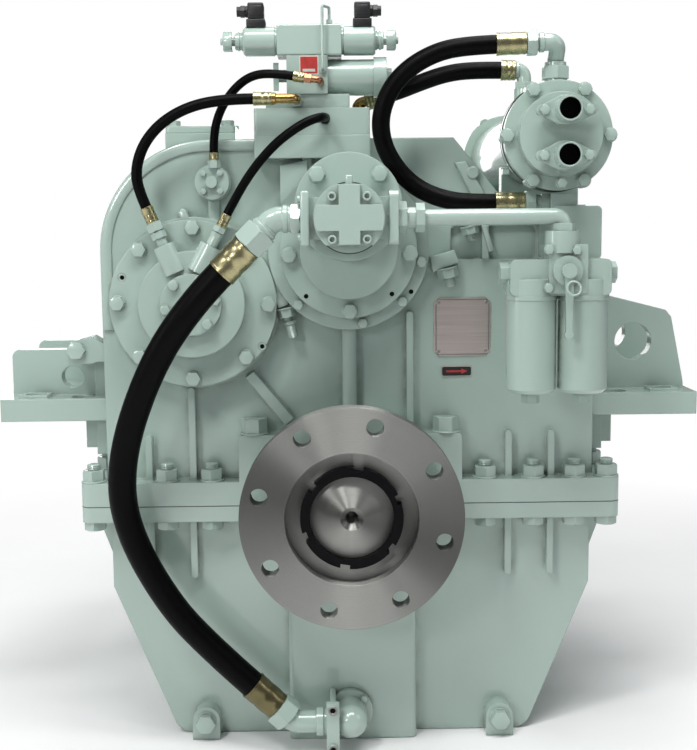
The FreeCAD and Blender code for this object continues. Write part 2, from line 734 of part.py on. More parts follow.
def make_pinions():
    """The two output pinions, which turn freely on the clutch shafts, and their sleeves"""
    for node, (x, z) in zip(("forward_pinion", "reverse_pinion"), clutch_axes):
        direction = tooth_towards(0, 0, x, z)
        pitch = 360.0 / output_teeth
        offset = (direction % pitch) / pitch
        start = direction + 180.0 + (0.5 + offset) * 360.0 / pinion_teeth
        teeth = gear(x, z, pinion_teeth, module_output, output_gear_front - 2, output_gear_front + gear_face + 2,
                     clutch_shaft_radius + fit_clearance, start)
        sleeve = ring(x, z, pinion_sleeve_radius, clutch_shaft_radius + fit_clearance, drum_rear - 30,
                      output_gear_front)
        save(node, fused([teeth, sleeve]))


def make_clutch_drum(x, z, first_tooth):
    """A clutch drum with its drive gear, open towards the pinion, and its pack of plates"""
    drum_front = drive_gear_front + drive_face
    teeth = gear(x, z, drive_teeth, module_drive, drive_gear_front, drum_front, clutch_shaft_radius, first_tooth,
                 drive_addendum)
    drum = ring(x, z, drum_radius, clutch_shaft_radius, drum_front - 1, drum_rear)
    cavity = ring(x, z, drum_radius - 12, clutch_shaft_radius, drum_front + 10, drum_rear + 1)
    plates = ring(x, z, drum_radius - 12 - loose_clearance, pinion_sleeve_radius + 1.5, drum_front + 10, drum_rear - 16)
    return Part.makeCompound([fused([teeth, drum]).cut(cavity), plates])


def make_clutch_shafts():
    """Input shaft, reverse clutch shaft, their drums, all shaft bearings and the input coupling"""
    between = tooth_towards(input_x, input_z, clutch_x, clutch_z)
    save("forward_clutch_drum", make_clutch_drum(input_x, input_z, between))
    save("reverse_clutch_drum", make_clutch_drum(clutch_x, clutch_z, meshing_start(drive_teeth, between + 180)))
    drive_gear = gear(input_x, input_z, pump_drive_teeth, module_pump_drive, pump_gear_rear - pump_drive_face,
                      pump_gear_rear, 8.0, 0.0)
    save("input_shaft", fused([disc(input_x, input_z, clutch_shaft_radius, pump_gear_rear, input_end - 4), drive_gear,
                               disc(input_x, input_z, 20.0, pump_gear_rear - pump_drive_face, pump_gear_rear + 4)]))
    save("reverse_shaft", disc(clutch_x, clutch_z, clutch_shaft_radius, case_front - 2, case_rear + 8))
    rings = []
    for x, z in clutch_axes:
        for y in (case_front + 8, case_rear - clutch_bearing_width - 6):
            rings.append(ring(x, z, clutch_bearing_outer, clutch_shaft_radius + fit_clearance, y,
                              y + clutch_bearing_width))
    for y in (coupling_length + 4, case_rear - 66):
        rings.append(ring(0, 0, output_bearing_outer, output_shaft_radius + fit_clearance, y,
                          y + output_bearing_width))
    save("shaft_bearings", Part.makeCompound(rings))
    coupling = fused([disc(input_x, input_z, input_flange_radius, input_end - 24, input_end),
                      disc(input_x, input_z, 66, input_end - 110, input_end - 23)])
    coupling = coupling.cut(disc(input_x, input_z, clutch_shaft_radius, input_end - 120, input_end + 1))
    holes = [disc(x, z, input_hole_radius, input_end - 30, input_end + 5)
             for x, z in around(input_x, input_z, input_bolt_circle / 2, 8, 22.5)]
    save("input_coupling", coupling.cut(holes[0].multiFuse(holes[1:])))


def make_rear_covers():
    """Covers over the bearings at the casing's rear: output, input and reverse shaft"""
    plug = disc(0, 0, output_bearing_outer - loose_clearance, case_rear - 2, joint_rear + 1)
    output_cover = fused([disc(0, 0, output_bearing_outer + 28, joint_rear, joint_rear + rear_cover_thickness), plug])
    cover_outer = clutch_bearing_outer + 32
    input_cover = ring(input_x, input_z, cover_outer, clutch_shaft_radius + 3, rear_cover_seat,
                       rear_cover_seat + rear_cover_thickness)
    reverse_cover = disc(clutch_x, clutch_z, cover_outer, rear_cover_seat, rear_cover_seat + rear_cover_thickness)
    save("rear_covers", Part.makeCompound([output_cover, input_cover, reverse_cover]))


def make_clutch_cover():
    """Front cover of the reverse clutch shaft, with two slanted oil ports and a round end cap"""
    front = cover_boss_front - cover_thickness
    cover = [disc(clutch_x, clutch_z, cover_radius, front, cover_boss_front),
             disc(clutch_x, clutch_z, cover_hub_radius, cover_hub_front, front + 1)]
    for route, gap in ((clutch_hose_route, clutch_port_gap), (lube_hose_route, lube_port_gap)):
        cover.append(rod(hose_end(route, True, gap), hose_end(route, True, gap + port_boss_length), port_boss_radius))
    bore = disc(clutch_x, clutch_z, clutch_shaft_radius + 3, cover_hub_front + 14, cover_boss_front + 1)
    jacks = [disc(x, z, 6, front - 1, cover_boss_front + 1) for x, z in ((-330, 341), (-128, 238))]
    cover = fused(cover).cut(bore.multiFuse(jacks))
    cap = disc(clutch_x, clutch_z, cap_radius, cover_hub_front - cap_thickness, cover_hub_front)
    save("clutch_cover", Part.makeCompound([cover, cap]))


def make_cover_screws():
    """Screw heads on the covers, the pump, the brackets, the top cover, the cooler and the rear covers"""
    heads = []
    for x, z in around(clutch_x, clutch_z, cover_bolt_circle / 2, 8, 1.0):
        heads.append(hex_head(x, z, cover_boss_front - cover_thickness, cover_screw_flats, 11))
    for x, z in around(clutch_x, clutch_z, cap_radius - 8, 6, 20.0):
        heads.append(hex_head(x, z, cover_hub_front - cap_thickness, small_screw_flats, 8))
    for x, z in ((-86, 371), (88, 372), (1, 290)):
        heads.append(hex_head(x, z, housing_flange_front, cover_screw_flats, 11))
    for x, z in ((106, 359), (20, 271), (78, 302), (-74, 299)):
        heads.append(hex_head(x, z, housing_ring_front, small_screw_flats, 9))
    for x in (-43, 43):
        heads.append(hex_head(x, 482, pump_flange_front, cover_screw_flats, 11))
    for x in (-23, 23):
        for z in (pump_mid_z - 28, pump_mid_z + 28):
            heads.append(disc(x, z, 6, pump_cover_front - 1, pump_cover_front + 6))
    for x in (lube_valve_x - 12, lube_valve_x + 12):
        for z in (lube_valve_z - 13, lube_valve_z + 13):
            heads.append(hex_head(x, z, lube_valve_seat - 12, 8, 5))
    for side in (-1, 1):
        seat = side * bracket_web_face
        for y in (285, 335, 440):
            for z in (84, 205):
                heads.append(hex_rod((seat, y, z), (seat + side * 14, y, z), joint_bolt_flats))
        heads.append(hex_head(side * standing_lug_x, sump_floor + 28, 103, joint_bolt_flats - 4, 14))
    for x in (-258, -178):
        for y in (170, 256):
            top = casing_top + 22
            heads.append(hex_rod((x, y, top), (x, y, top + 9), cover_screw_flats - 2))
    for x, z in around(cooler_x, cooler_z, cooler_bolt_radius, 6, 30.0):
        heads.append(hex_head(x, z, cooler_front + 26, small_screw_flats + 3, 8))
    for dz in (cooler_stub_offset, -cooler_stub_offset):
        for dx in (-30, 30):
            heads.append(hex_head(cooler_x + 3 + dx, cooler_z + dz, cooler_front - 15, small_screw_flats - 1, 7))
    for x, z in around(0, 0, output_bearing_outer + 14, 6, 0.0):
        seat = joint_rear + rear_cover_thickness
        heads.append(hex_rod((x, seat, z), (x, seat + 10, z), cover_screw_flats))
    for axis_x, axis_z in clutch_axes:
        for x, z in around(axis_x, axis_z, clutch_bearing_outer + 18, 6, 15.0):
            seat = rear_cover_seat + rear_cover_thickness
            heads.append(hex_rod((x, seat, z), (x, seat + 10, z), cover_screw_flats))
    save("cover_screws", Part.makeCompound(heads))


def make_pump_housing():
    """Pump drive housing: a flanged drum on the input axis that carries the pump above it"""
    plate_rear = pump_flange_front + pump_flange_thickness
    body = fused([disc(input_x, input_z, housing_flange_radius, housing_flange_front, housing_ring_front),
                  disc(input_x, input_z, housing_drum_radius, plate_rear, housing_flange_front + 1),
                  disc(input_x, pump_z, pump_flange_radius - 4, plate_rear, housing_ring_front)])
    gear_room = module_pump_drive * (pump_drive_teeth / 2 + 1) + 6
    inside = [disc(input_x, input_z, clutch_shaft_radius + 12, plate_rear + housing_wall, housing_ring_front + 1),
              disc(input_x, pump_z, gear_room, plate_rear + housing_wall, housing_ring_front + 1)]
    body = body.cut(fused(inside))
    save("pump_housing", body.cut(disc(input_x, pump_z, pump_shaft_radius + 2.5, plate_rear - 1,
                                       plate_rear + housing_wall + 1)))


def make_pump_rotors():
    """The pump's driving shaft with its gear and rotor, and the second rotor that it turns"""
    rotor_front = pump_body_front + 6
    rotor_rear = rotor_front + pump_rotor_length
    driven = gear(input_x, pump_z, pump_drive_teeth, module_pump_drive, pump_gear_rear - pump_drive_face,
                  pump_gear_rear, pump_shaft_radius, meshing_start(pump_drive_teeth, 180))
    shaft = disc(input_x, pump_z, pump_shaft_radius, pump_body_front + 2, pump_gear_rear)
    rotor = gear(input_x, pump_z, pump_rotor_teeth, module_rotor, rotor_front, rotor_rear, pump_shaft_radius - 1, 0.0,
                 rotor_addendum)
    save("pump_driver", fused([driven, shaft, rotor]))
    idler = gear(input_x, pump_rotor_z, pump_rotor_teeth, module_rotor, rotor_front, rotor_rear,
                 pump_shaft_radius - 1, meshing_start(pump_rotor_teeth, 0), rotor_addendum)
    journal = disc(input_x, pump_rotor_z, pump_shaft_radius, pump_body_front + 2, rotor_rear + 4)
    save("pump_idler", fused([idler, journal]))


def make_pump():
    """External gear pump: round mounting flange, gear body and end cover with a raised cross"""
    shaft_bore = pump_shaft_radius + fit_clearance
    flange = disc(input_x, pump_z, pump_flange_radius, pump_flange_front, pump_flange_front + pump_flange_thickness)
    save("pump_flange", flange.cut(disc(input_x, pump_z, shaft_bore, 0, 60)))
    reach = pump_port_half_span - 8
    body = fused([disc(input_x, pump_mid_z, pump_body_radius, pump_body_front, pump_flange_front),
                  box(-reach, reach, pump_body_front + 2, pump_flange_front - 6, pump_mid_z - 28, pump_mid_z + 28)])
    rotor_room = module_rotor * (pump_rotor_teeth / 2 + rotor_addendum) + 0.1
    chamber_rear = pump_body_front + 7 + pump_rotor_length
    chambers = [disc(input_x, z, rotor_room, pump_body_front - 1, chamber_rear) for z in (pump_z, pump_rotor_z)]
    chambers.append(disc(input_x, pump_z, shaft_bore, pump_body_front, 60))
    chambers.append(disc(input_x, pump_rotor_z, shaft_bore, pump_body_front, chamber_rear + 5))
    port_y = pump_body_front + 6 + pump_rotor_length / 2
    chambers.append(rod((-reach - 1, port_y, pump_mid_z), (reach + 1, port_y, pump_mid_z), 11))
    save("pump_body", body.cut(chambers[0].multiFuse(chambers[1:])))

    plate = disc(input_x, pump_mid_z, pump_body_radius, pump_cover_front + 6, pump_body_front)
    plate = plate.common(box(-pump_body_radius, pump_body_radius, -100, 0, pump_mid_z - 36, pump_mid_z + 44))
    cross = fused([box(-46, 46, pump_cover_front, pump_cover_front + 7, pump_mid_z - 17, pump_mid_z + 17),
                   box(-14, 14, pump_cover_front, pump_cover_front + 7, pump_mid_z - 35, pump_mid_z + 43)])
    cross = cross.common(disc(input_x, pump_mid_z, pump_body_radius - 1.5, -100, 0))
    save("pump_end_cover", fused([plate, cross]))


def port_plate(side):
    """Plate with rounded corners that carries one of the pump's pipe connections"""
    low, high = sorted((side * (pump_port_half_span - 8), side * (pump_port_half_span + 4)))
    return rounded(box(low, high, pump_port_y - 26, pump_port_y + 26, pump_mid_z - 36, pump_mid_z + 36), 9, ALONG_X)


def make_valve_stack():
    """Base block, sub-plate, pressure valve and double-solenoid valve on the casing's top"""
    base = box(base_left, base_right, base_front, base_rear, casing_top + pedestal_height, base_top)
    save("valve_base", rounded(base, 4, ALONG_Z))
    save("valve_subplate", rounded(box(-117, 4, 105, 226, base_top, subplate_top), 3, ALONG_Z))
    lower = fused([box(-86, -27, 102, 168, subplate_top, lower_valve_top),
                   rod((-28, 134, pressure_valve_z), (40, 134, pressure_valve_z), pressure_valve_radius),
                   rod((39, 134, pressure_valve_z), (58, 134, pressure_valve_z), pressure_valve_radius + 3),
                   hex_rod((57, 134, pressure_valve_z), (66, 134, pressure_valve_z), 22)])
    pin_bore = rod((-90, lever_y, lever_z), (-66, lever_y, lever_z), selector_pin_radius + fit_clearance)
    save("lower_valve", lower.cut(pin_bore))
    body = box(-99, -7, coil_y - 22, coil_y + 22, lower_valve_top, solenoid_top)
    save("solenoid_valve", rounded(body, 3, ALONG_X))
    solids = []
    for side, seat in ((-1, -99), (1, -7)):
        far = seat + side * coil_length
        coil = fused([rod((seat, coil_y, coil_z), (far, coil_y, coil_z), coil_radius),
                      hex_rod((far, coil_y, coil_z), (far + side * 12, coil_y, coil_z), 30)])
        solids.append(coil.cut(rod((seat + side * 30, coil_y, coil_z), (far + side * 13, coil_y, coil_z),
                                   override_radius + 0.1)))
        low, high = sorted((seat + side * 19, seat + side * 42))
        pad = box(low - 2, high + 2, coil_y - 14, coil_y + 14, solenoid_top, solenoid_top + 9)
        block = box(low, high, coil_y - 14, coil_y + 14, solenoid_top + 8, solenoid_top + 33)
        gland_z = solenoid_top + 21
        gland = rod((seat + side * 40, coil_y, gland_z), (seat + side * 58, coil_y, gland_z), 8.5)
        solids.append(fused([pad, block, gland]))
    save("solenoid_coils", Part.makeCompound(solids))
    for node, side, seat in (("override_pin_left", -1, -99), ("override_pin_right", 1, -7)):
        face = seat + side * (coil_length + 12)
        knob = rod((face + side * 4, coil_y, coil_z), (face + side * 18, coil_y, coil_z), 14)
        stem = rod((face - side * 14, coil_y, coil_z), (face + side * 22, coil_y, coil_z), override_radius)
        save(node, fused([knob, stem]))
    lever = fused([rod((-86.3, lever_y, lever_z), (-100, lever_y, lever_z), 9),
                   rod((-68, lever_y, lever_z), (-90, lever_y, lever_z), selector_pin_radius),
                   box(-106, -98, lever_y - 8, lever_y + 8, lever_z - 22, lever_z + 18)])
    save("selector_lever", lever)


def make_top_cover():
    """Inspection cover over the clutch bulge, and the small lubrication valve below it"""
    save("top_cover", rounded(box(-270, -166, 158, 268, casing_top + 12, casing_top + 22), 6, ALONG_Z))
    inlet_x = sensing_hose_route[-1][0]
    inlet_y = sensing_hose_route[-1][1]
    valve = fused([disc(lube_valve_x, lube_valve_z, 25, lube_valve_seat - 12, lube_valve_seat),
                   disc(lube_valve_x, lube_valve_z, 8.5, lube_valve_seat - 20, lube_valve_seat - 11),
                   hex_rod((inlet_x, inlet_y, lube_valve_z + 20), (inlet_x, inlet_y, sensing_seat), 16)])
    save("lube_valve", valve)


def cooler_lugs(y0, y1):
    """The six round screw lugs of a cooler cap"""
    return [disc(x, z, 10.5, y0, y1) for x, z in around(cooler_x, cooler_z, cooler_bolt_radius, 6, 30.0)]


def make_cooler():
    """Tube-bundle oil cooler: shell, two end caps with water stubs, tube bundle and saddles"""
    front_seat = cooler_front + 46
    rear_seat = cooler_rear - 40
    shell = [ring(cooler_x, cooler_z, cooler_shell_radius, cooler_shell_radius - 5, front_seat, rear_seat)]
    for y in (front_seat, rear_seat - 14):
        shell.append(ring(cooler_x, cooler_z, cooler_cap_radius - 3, cooler_shell_radius - 5, y, y + 14))
    for x, y, top in (cooler_inlet, cooler_outlet):
        neck = rod((x, y, cooler_z + 30), (x, y, top), 15)
        shell.append(neck.cut(disc(cooler_x, cooler_z, cooler_shell_radius - 2, 0, 300)))
    save("cooler_shell", fused(shell))

    step = cooler_front + 26
    cap = [disc(cooler_x, cooler_z, cooler_cap_radius - 4, step, front_seat),
           disc(cooler_x, cooler_z, 57, cooler_front + 4, step + 1)]
    cap += cooler_lugs(step, front_seat)
    solids = []
    stub_x = cooler_x + 3
    for dz in (cooler_stub_offset, -cooler_stub_offset):
        cap.append(disc(stub_x, cooler_z + dz, 21, cooler_front - 8, cooler_front + 6))
        z = cooler_z + dz
        collar = outline((stub_x - 34, z - 7),
                         [(stub_x - 41, z, stub_x - 34, z + 7), (stub_x - 10, z + 19),
                          (stub_x + 10, z + 19), (stub_x + 34, z + 7),
                          (stub_x + 41, z, stub_x + 34, z - 7), (stub_x + 10, z - 19),
                          (stub_x - 10, z - 19), (stub_x - 34, z - 7)],
                         cooler_front - 15, cooler_front - 8)
        stub = fused([disc(stub_x, z, 16.8, cooler_front - 40, cooler_front - 8), collar])
        solids.append(stub.cut(disc(stub_x, z, stub_bore, cooler_front - 50, cooler_front)))
    cap = fused(cap).cut(disc(cooler_x, cooler_z, 50, cooler_front + 14, front_seat + 1))
    save("cooler_front_cap", Part.makeCompound([cap] + solids))
    save("cooler_rear_cap", fused([disc(cooler_x, cooler_z, cooler_cap_radius - 4, rear_seat, cooler_rear - 20),
                                   disc(cooler_x, cooler_z, 57, cooler_rear - 21, cooler_rear)]
                                  + cooler_lugs(rear_seat, rear_seat + 20)))
    save("cooler_tube_bundle", disc(cooler_x, cooler_z, cooler_shell_radius - 5 - loose_clearance, front_seat + 3,
                                    rear_seat))
    saddles = []
    for y in saddle_places:
        saddle = box(cooler_x - 52, cooler_x + 66, y, y + 26, saddle_foot, cooler_z)
        saddles.append(saddle.cut(disc(cooler_x, cooler_z, cooler_shell_radius, y - 1, y + 27)))
    save("cooler_saddles", Part.makeCompound(saddles))


def make_filter():
    """Duplex filter: head with pedestal and plugs, two bowls, two elements and the changeover lever"""
    head_front = filter_y - 34
    head_rear = filter_y + 34
    cover_front = head_front - 10
    head = [rounded(box(bowl_left_x - 33, bowl_right_x + 33, head_front + 6, head_rear, bowl_top, filter_head_top - 8),
                    8, ALONG_Y),
            box(lever_pivot_x - 24, lever_pivot_x + 28, head_front - 2, head_rear, bowl_top + 3, filter_head_top + 12),
            Part.makeCylinder(24, 30, Vector(filter_neck_x, pump_port_y + 6, filter_neck_top - 30)),
            rounded(box(filter_neck_x - 6, filter_neck_x + 64, head_rear - 1, case_front, filter_head_top - 10,
                        pedestal_top), 7, ALONG_Y),
            box(filter_neck_x - 6, filter_neck_x + 30, 30, 70, pedestal_top - 10, pedestal_top + 18),
            disc(lever_pivot_x, lever_pivot_z, 20, cover_front, head_front)]
    for side, x in ((-1, bowl_left_x - 33), (1, bowl_right_x + 33)):
        plug_z = lever_pivot_z - 4
        head.append(hex_rod((x - side, filter_y, plug_z), (x + side * 11, filter_y, plug_z), 26))
    for x in (bowl_left_x, bowl_right_x):
        head.append(Part.makeCylinder(bowl_radius + 1, 22, Vector(x, filter_y, bowl_top)))
    cuts = [Part.makeCylinder(bowl_radius - 8, 20, Vector(x, filter_y, bowl_top - 1))
            for x in (bowl_left_x, bowl_right_x)]
    cuts.append(disc(lever_pivot_x, lever_pivot_z, lever_pin_radius + fit_clearance, cover_front - 1, head_front - 1))
    save("filter_head", fused(head).cut(cuts[0].multiFuse(cuts[1:])))
    bowls = []
    elements = []
    for x in (bowl_left_x, bowl_right_x):
        height = bowl_top - bowl_bottom
        bowl = Part.makeCylinder(bowl_radius, height - 5, Vector(x, filter_y, bowl_bottom + 5))
        bowl = bowl.fuse(Part.makeCone(bowl_radius - 5, bowl_radius, 5, Vector(x, filter_y, bowl_bottom), ALONG_Z))
        bowl = bowl.cut(Part.makeCylinder(bowl_radius - 6, height, Vector(x, filter_y, bowl_bottom + 5)))
        drain_plug = hex_rod((x, filter_y, bowl_bottom - 15), (x, filter_y, bowl_bottom), 22)
        bowls.append(bowl.fuse(drain_plug).removeSplitter())
        elements.append(Part.makeCylinder(bowl_radius - 12, height - 16, Vector(x, filter_y, bowl_bottom + 5)))
    save("filter_bowls", Part.makeCompound(bowls))
    save("filter_elements", Part.makeCompound(elements))
    hub = disc(lever_pivot_x, lever_pivot_z, 10, cover_front - 12, cover_front - 0.3)
    pin = disc(lever_pivot_x, lever_pivot_z, lever_pin_radius, cover_front - 11, head_front - 2)
    arm_end = lever_pivot_z - changeover_lever_reach
    arm = outline((lever_pivot_x - 6, lever_pivot_z),
                  [(lever_pivot_x - 4, arm_end + 10), (lever_pivot_x, arm_end, lever_pivot_x + 4, arm_end + 10),
                   (lever_pivot_x + 6, lever_pivot_z), (lever_pivot_x - 6, lever_pivot_z)],
                  cover_front - 10, cover_front - 3)
    save("changeover_lever", fused([hub, pin, arm]))


def make_delivery_pipe():
    """Steel pipe from the pump's pressure port to the filter's neck, with its nuts and port plate"""
    seat = pump_port_half_span + 4
    y = pump_port_y
    pipe = elbow([(seat, y, pump_mid_z), (filter_neck_x, y, pump_mid_z), (filter_neck_x, y, filter_neck_top)], 11, 13)
    nuts = [hex_rod((seat, y, pump_mid_z), (seat + 12, y, pump_mid_z), 38),
            rod((seat + 11, y, pump_mid_z), (seat + 25, y, pump_mid_z), 14.5),
            hex_rod((seat + 24, y, pump_mid_z), (seat + 36, y, pump_mid_z), 34),
            hex_rod((filter_neck_x, y, filter_neck_top), (filter_neck_x, y, filter_neck_top + 10), 30)]
    save("delivery_pipe", Part.makeCompound([fused([pipe] + nuts), port_plate(1)]))


def make_strainer():
    """Suction strainer housing on the pod, its clamp, and the mesh strainer inside the sump"""
    z = strainer_z
    front = strainer_port_y - strainer_arm_radius
    housing = fused([disc(strainer_x, z, strainer_flange_radius, pod_front - 11, pod_front),
                     disc(strainer_x, z, strainer_dome_radius, strainer_port_y, pod_front - 10),
                     Part.makeSphere(strainer_dome_radius, Vector(strainer_x, strainer_port_y, z)),
                     rod((strainer_x, strainer_port_y, z), (-44, strainer_port_y, z), strainer_arm_radius)])
    housing = housing.cut(disc(strainer_x, z, screen_radius + 0.3, 70, pod_front + 1))
    posts = [disc(-30.5, z + dz, 5, front - 1, pod_front) for dz in (-30, 30)]
    heads = [disc(-30.5, z + dz, 7.5, front - 15, front - 9) for dz in (-30, 30)]
    clamp = fused([box(-40, -21, front - 10, front, z - 38, z + 38)] + posts + heads)
    save("strainer_housing", Part.makeCompound([housing, clamp]))
    save("strainer_screen", ring(strainer_x, z, screen_radius, screen_radius - 4, 70, case_front + end_wall + 150))


def hose_fitting(route, last, ferrule, nut, radius, flats, beyond=None):
    """A crimped ferrule and a nut in line with a hose's end, and a pipe that carries on from the nut"""
    tip = route[-1 if last else 0]
    middle = hose_end(route, last, ferrule)
    shapes = [rod(tip, middle, radius)]
    end = middle
    if nut:
        end = hose_end(route, last, ferrule + nut)
        shapes.append(hex_rod(middle, end, flats))
    if beyond:
        points, pipe_radius, bend_radius = beyond
        shapes.append(elbow([end] + points, pipe_radius, bend_radius))
    return fused(shapes)


def make_fittings():
    """Ferrules, nuts, elbows and port nuts at the hose ends, and the thin vent pipe"""
    seat = -pump_port_half_span - 4
    y = pump_port_y
    sleeve = suction_hose_diameter / 2 + 1.5
    top = hose_fitting(suction_hose_route, False, 50, 30, sleeve, 44,
                       ([(seat - 36.5, y, pump_mid_z), (seat - 12, y, pump_mid_z)], 16, 24))
    low = hose_fitting(suction_hose_route, True, 50, 24, sleeve, 44,
                       ([(-87.2, strainer_port_y, strainer_z), (-44, strainer_port_y, strainer_z)], 16, 20))
    save("suction_fittings", Part.makeCompound([
        fused([top, hex_rod((seat - 14, y, pump_mid_z), (seat, y, pump_mid_z), 38)]),
        fused([low, rod((-56, strainer_port_y, strainer_z), (-44, strainer_port_y, strainer_z), 21)]),
        port_plate(-1)]))

    clutch_start = clutch_hose_route[0]
    clutch_seat = 105
    subplate_fitting = hose_fitting(clutch_hose_route, False, 26, 0, clutch_hose_diameter / 2 + 1.5, 17,
                                    ([(-72, clutch_start[1], clutch_start[2]),
                                      (-72, clutch_seat, clutch_start[2])], 7, 9))
    nut_start = (-72, clutch_seat - 13, clutch_start[2])
    pilot = [fused([subplate_fitting, hex_rod(nut_start, (-72, clutch_seat, clutch_start[2]), 17)])]
    for route, gap, ferrule, nut, sleeve, flats in (
            (clutch_hose_route, clutch_port_gap, 24, 24, clutch_hose_diameter / 2 + 1.5, 22),
            (lube_hose_route, lube_port_gap, 20, 16, lube_hose_diameter / 2 + 1, 17)):
        fitting = hose_fitting(route, True, ferrule, nut, sleeve, flats)
        adapter = rod(hose_end(route, True, ferrule + nut - 1), hose_end(route, True, gap), 8)
        pilot.append(fused([fitting, adapter]))
    sensing = hose_fitting(sensing_hose_route, False, 16, 10, sensing_hose_diameter / 2 + 1, 12,
                           ([(-37, 74.6, 616.3), (-37, 102, 616.3)], 5, 7))
    pilot.append(sensing)
    pilot.append(hose_fitting(sensing_hose_route, True, sensing_hose_route[-1][2] - sensing_seat, 0,
                              sensing_hose_diameter / 2 + 1, 12))
    pilot.append(hose_fitting(lube_hose_route, False, base_front - lube_hose_route[0][1], 0,
                              lube_hose_diameter / 2 + 1, 15))
    vent_foot = lower_valve_top - 21
    vent_top = solenoid_top + vent_pipe_rise
    vent_front = coil_y - 32
    vent_rear = vent_front + 16
    pilot.append(elbow([(-34, vent_front + 10, vent_foot), (-34, vent_front, vent_foot),
                        (-34, vent_front, vent_top), (-24, vent_rear, vent_top),
                        (-24, vent_rear, solenoid_top)], 2.2, 3.5))
    save("pilot_fittings", Part.makeCompound(pilot))

    inlet_x, inlet_y, inlet_top = cooler_inlet
    sleeve = cooler_hose_diameter / 2 + 2
    inlet = hose_fitting(cooler_hose_route, False, 42, 14, sleeve, 32,
                         ([(inlet_x, 37.6, 660.4), (inlet_x, inlet_y, inlet_top + 26), (inlet_x, inlet_y, inlet_top)],
                          11, 12))
    inlet = fused([inlet, hex_rod((inlet_x, inlet_y, inlet_top), (inlet_x, inlet_y, inlet_top + 18), 34)])
    end_y, end_z = cooler_hose_route[-1][1:]
    outlet = hose_fitting(cooler_hose_route, True, 42, 14, sleeve, 32, ([(282, end_y, end_z)], 11, 1))
    outlet = fused([outlet, hex_rod((271, end_y, end_z), (282, end_y, end_z), 24)])
    outlet_x, outlet_y, outlet_top = cooler_outlet
    sleeve = return_hose_diameter / 2 + 2
    back = hose_fitting(return_hose_route, False, 22, 0, sleeve, 30,
                        ([(outlet_x, 148.2, 637.1), (outlet_x, outlet_y, outlet_top)], 10, 11))
    back = fused([back, hex_rod((outlet_x, outlet_y, outlet_top), (outlet_x, outlet_y, outlet_top + 10), 28)])
    into_base = hose_fitting(return_hose_route, True, 18, 0, sleeve, 28,
                             ([(17, 190, 596), (17, 190, base_top)], 8, 8.5))
    save("cooler_fittings", Part.makeCompound([inlet, outlet, back, into_base]))


def make_hoses():
    """The six free hoses"""
    for node, route, diameter in (
            ("suction_hose", suction_hose_route, suction_hose_diameter),
            ("clutch_hose", clutch_hose_route, clutch_hose_diameter),
            ("sensing_hose", sensing_hose_route, sensing_hose_diameter),
            ("lube_hose", lube_hose_route, lube_hose_diameter),
            ("cooler_hose", cooler_hose_route, cooler_hose_diameter),
            ("return_hose", return_hose_route, return_hose_diameter)):
        save(node, hose_solid(route, diameter, node))


def make_plates():
    """Bare data plate and the small plate with a direction arrow on the casing's front"""
    front = case_front - 1.5
    plate = box(127, 212, front, case_front, 217, 305)
    for x in (127, 212):
        for z in (217, 305):
            plate = plate.cut(disc(x, z, 7, front - 1, case_front + 1))
    save("plates", Part.makeCompound([plate, box(139, 183, front, case_front, 187, 202)]))


os.makedirs("parts", exist_ok=True)
make_lower_casing()
make_upper_casing()
make_joint_bolts()
make_brackets()
make_output_group()
make_pinions()
make_clutch_shafts()
make_rear_covers()
make_clutch_cover()
make_cover_screws()
make_pump_housing()
make_pump_rotors()
make_pump()
make_valve_stack()
make_top_cover()
make_cooler()
make_filter()
make_delivery_pipe()
make_strainer()
make_fittings()
make_hoses()
make_plates()
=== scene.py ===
import math

import bmesh
import bpy
from mathutils import Matrix, Vector


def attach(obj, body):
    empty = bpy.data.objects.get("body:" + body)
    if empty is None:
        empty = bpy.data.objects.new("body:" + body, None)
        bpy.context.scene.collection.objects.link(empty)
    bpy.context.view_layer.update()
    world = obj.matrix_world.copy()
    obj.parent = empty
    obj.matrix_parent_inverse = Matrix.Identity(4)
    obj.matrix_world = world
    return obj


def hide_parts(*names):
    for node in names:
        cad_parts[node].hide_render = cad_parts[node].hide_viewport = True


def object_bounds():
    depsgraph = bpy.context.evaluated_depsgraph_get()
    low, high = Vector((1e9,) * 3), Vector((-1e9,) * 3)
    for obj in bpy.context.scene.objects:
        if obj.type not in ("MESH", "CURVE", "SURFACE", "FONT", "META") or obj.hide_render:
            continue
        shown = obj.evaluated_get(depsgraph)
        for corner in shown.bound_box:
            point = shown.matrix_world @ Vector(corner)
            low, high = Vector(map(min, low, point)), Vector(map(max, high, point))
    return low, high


# Marine reduction gearbox: finishes, hoses, crimped fittings, fasteners and small details on the frame.
# Lengths are millimetres unless said otherwise; MM turns them into metres.

MM = 0.001
CASE_MIDDLE_Y = 345.0
JOINT_TOP = 36.0
JOINT_BOTTOM = -24.0
JOINT_HALF_WIDTH = 403.0
JOINT_FRONT_Y = 95.0
JOINT_REAR_Y = 606.0
JOINT_CORNER = 16.0
JOINT_NUT_FLATS = 30.0
JOINT_NUT_HEIGHT = 18.0
JOINT_HEAD_HEIGHT = 13.0
JOINT_STUD_RADIUS = 10.0
SHORT_JOINT_BOLT = 40.0
CLAMP_HEAD_Y = 22.0
STUB_FRONT_Y = -50.0
BOSS_ROOT_Y = 131.0
SADDLE_BOLT_SEAT = 468.0

# Axes that run along Y, as (x, z)
INPUT_AXIS = (0, 378)
REVERSE_AXIS = (-227.6, 301.8)
PUMP_AXIS = (0, 438)
PUMP_MIDDLE = (0, 421.5)
COOLER_AXIS = (289, 532)
STRAINER_AXIS = (-4, -320)
WATER_STUBS = ((292, 562), (292, 502))

# The coils' axis runs along X
COIL_Y = 124
COIL_Z = 678

# How the frame's plain fasteners are read: matching of corners, round heads, heads with a washer
GRID_STEPS_PER_METRE = 20000
ROUND_HEAD_DIFFERENCE = 0.3
WASHER_FROM_FLATS = 10

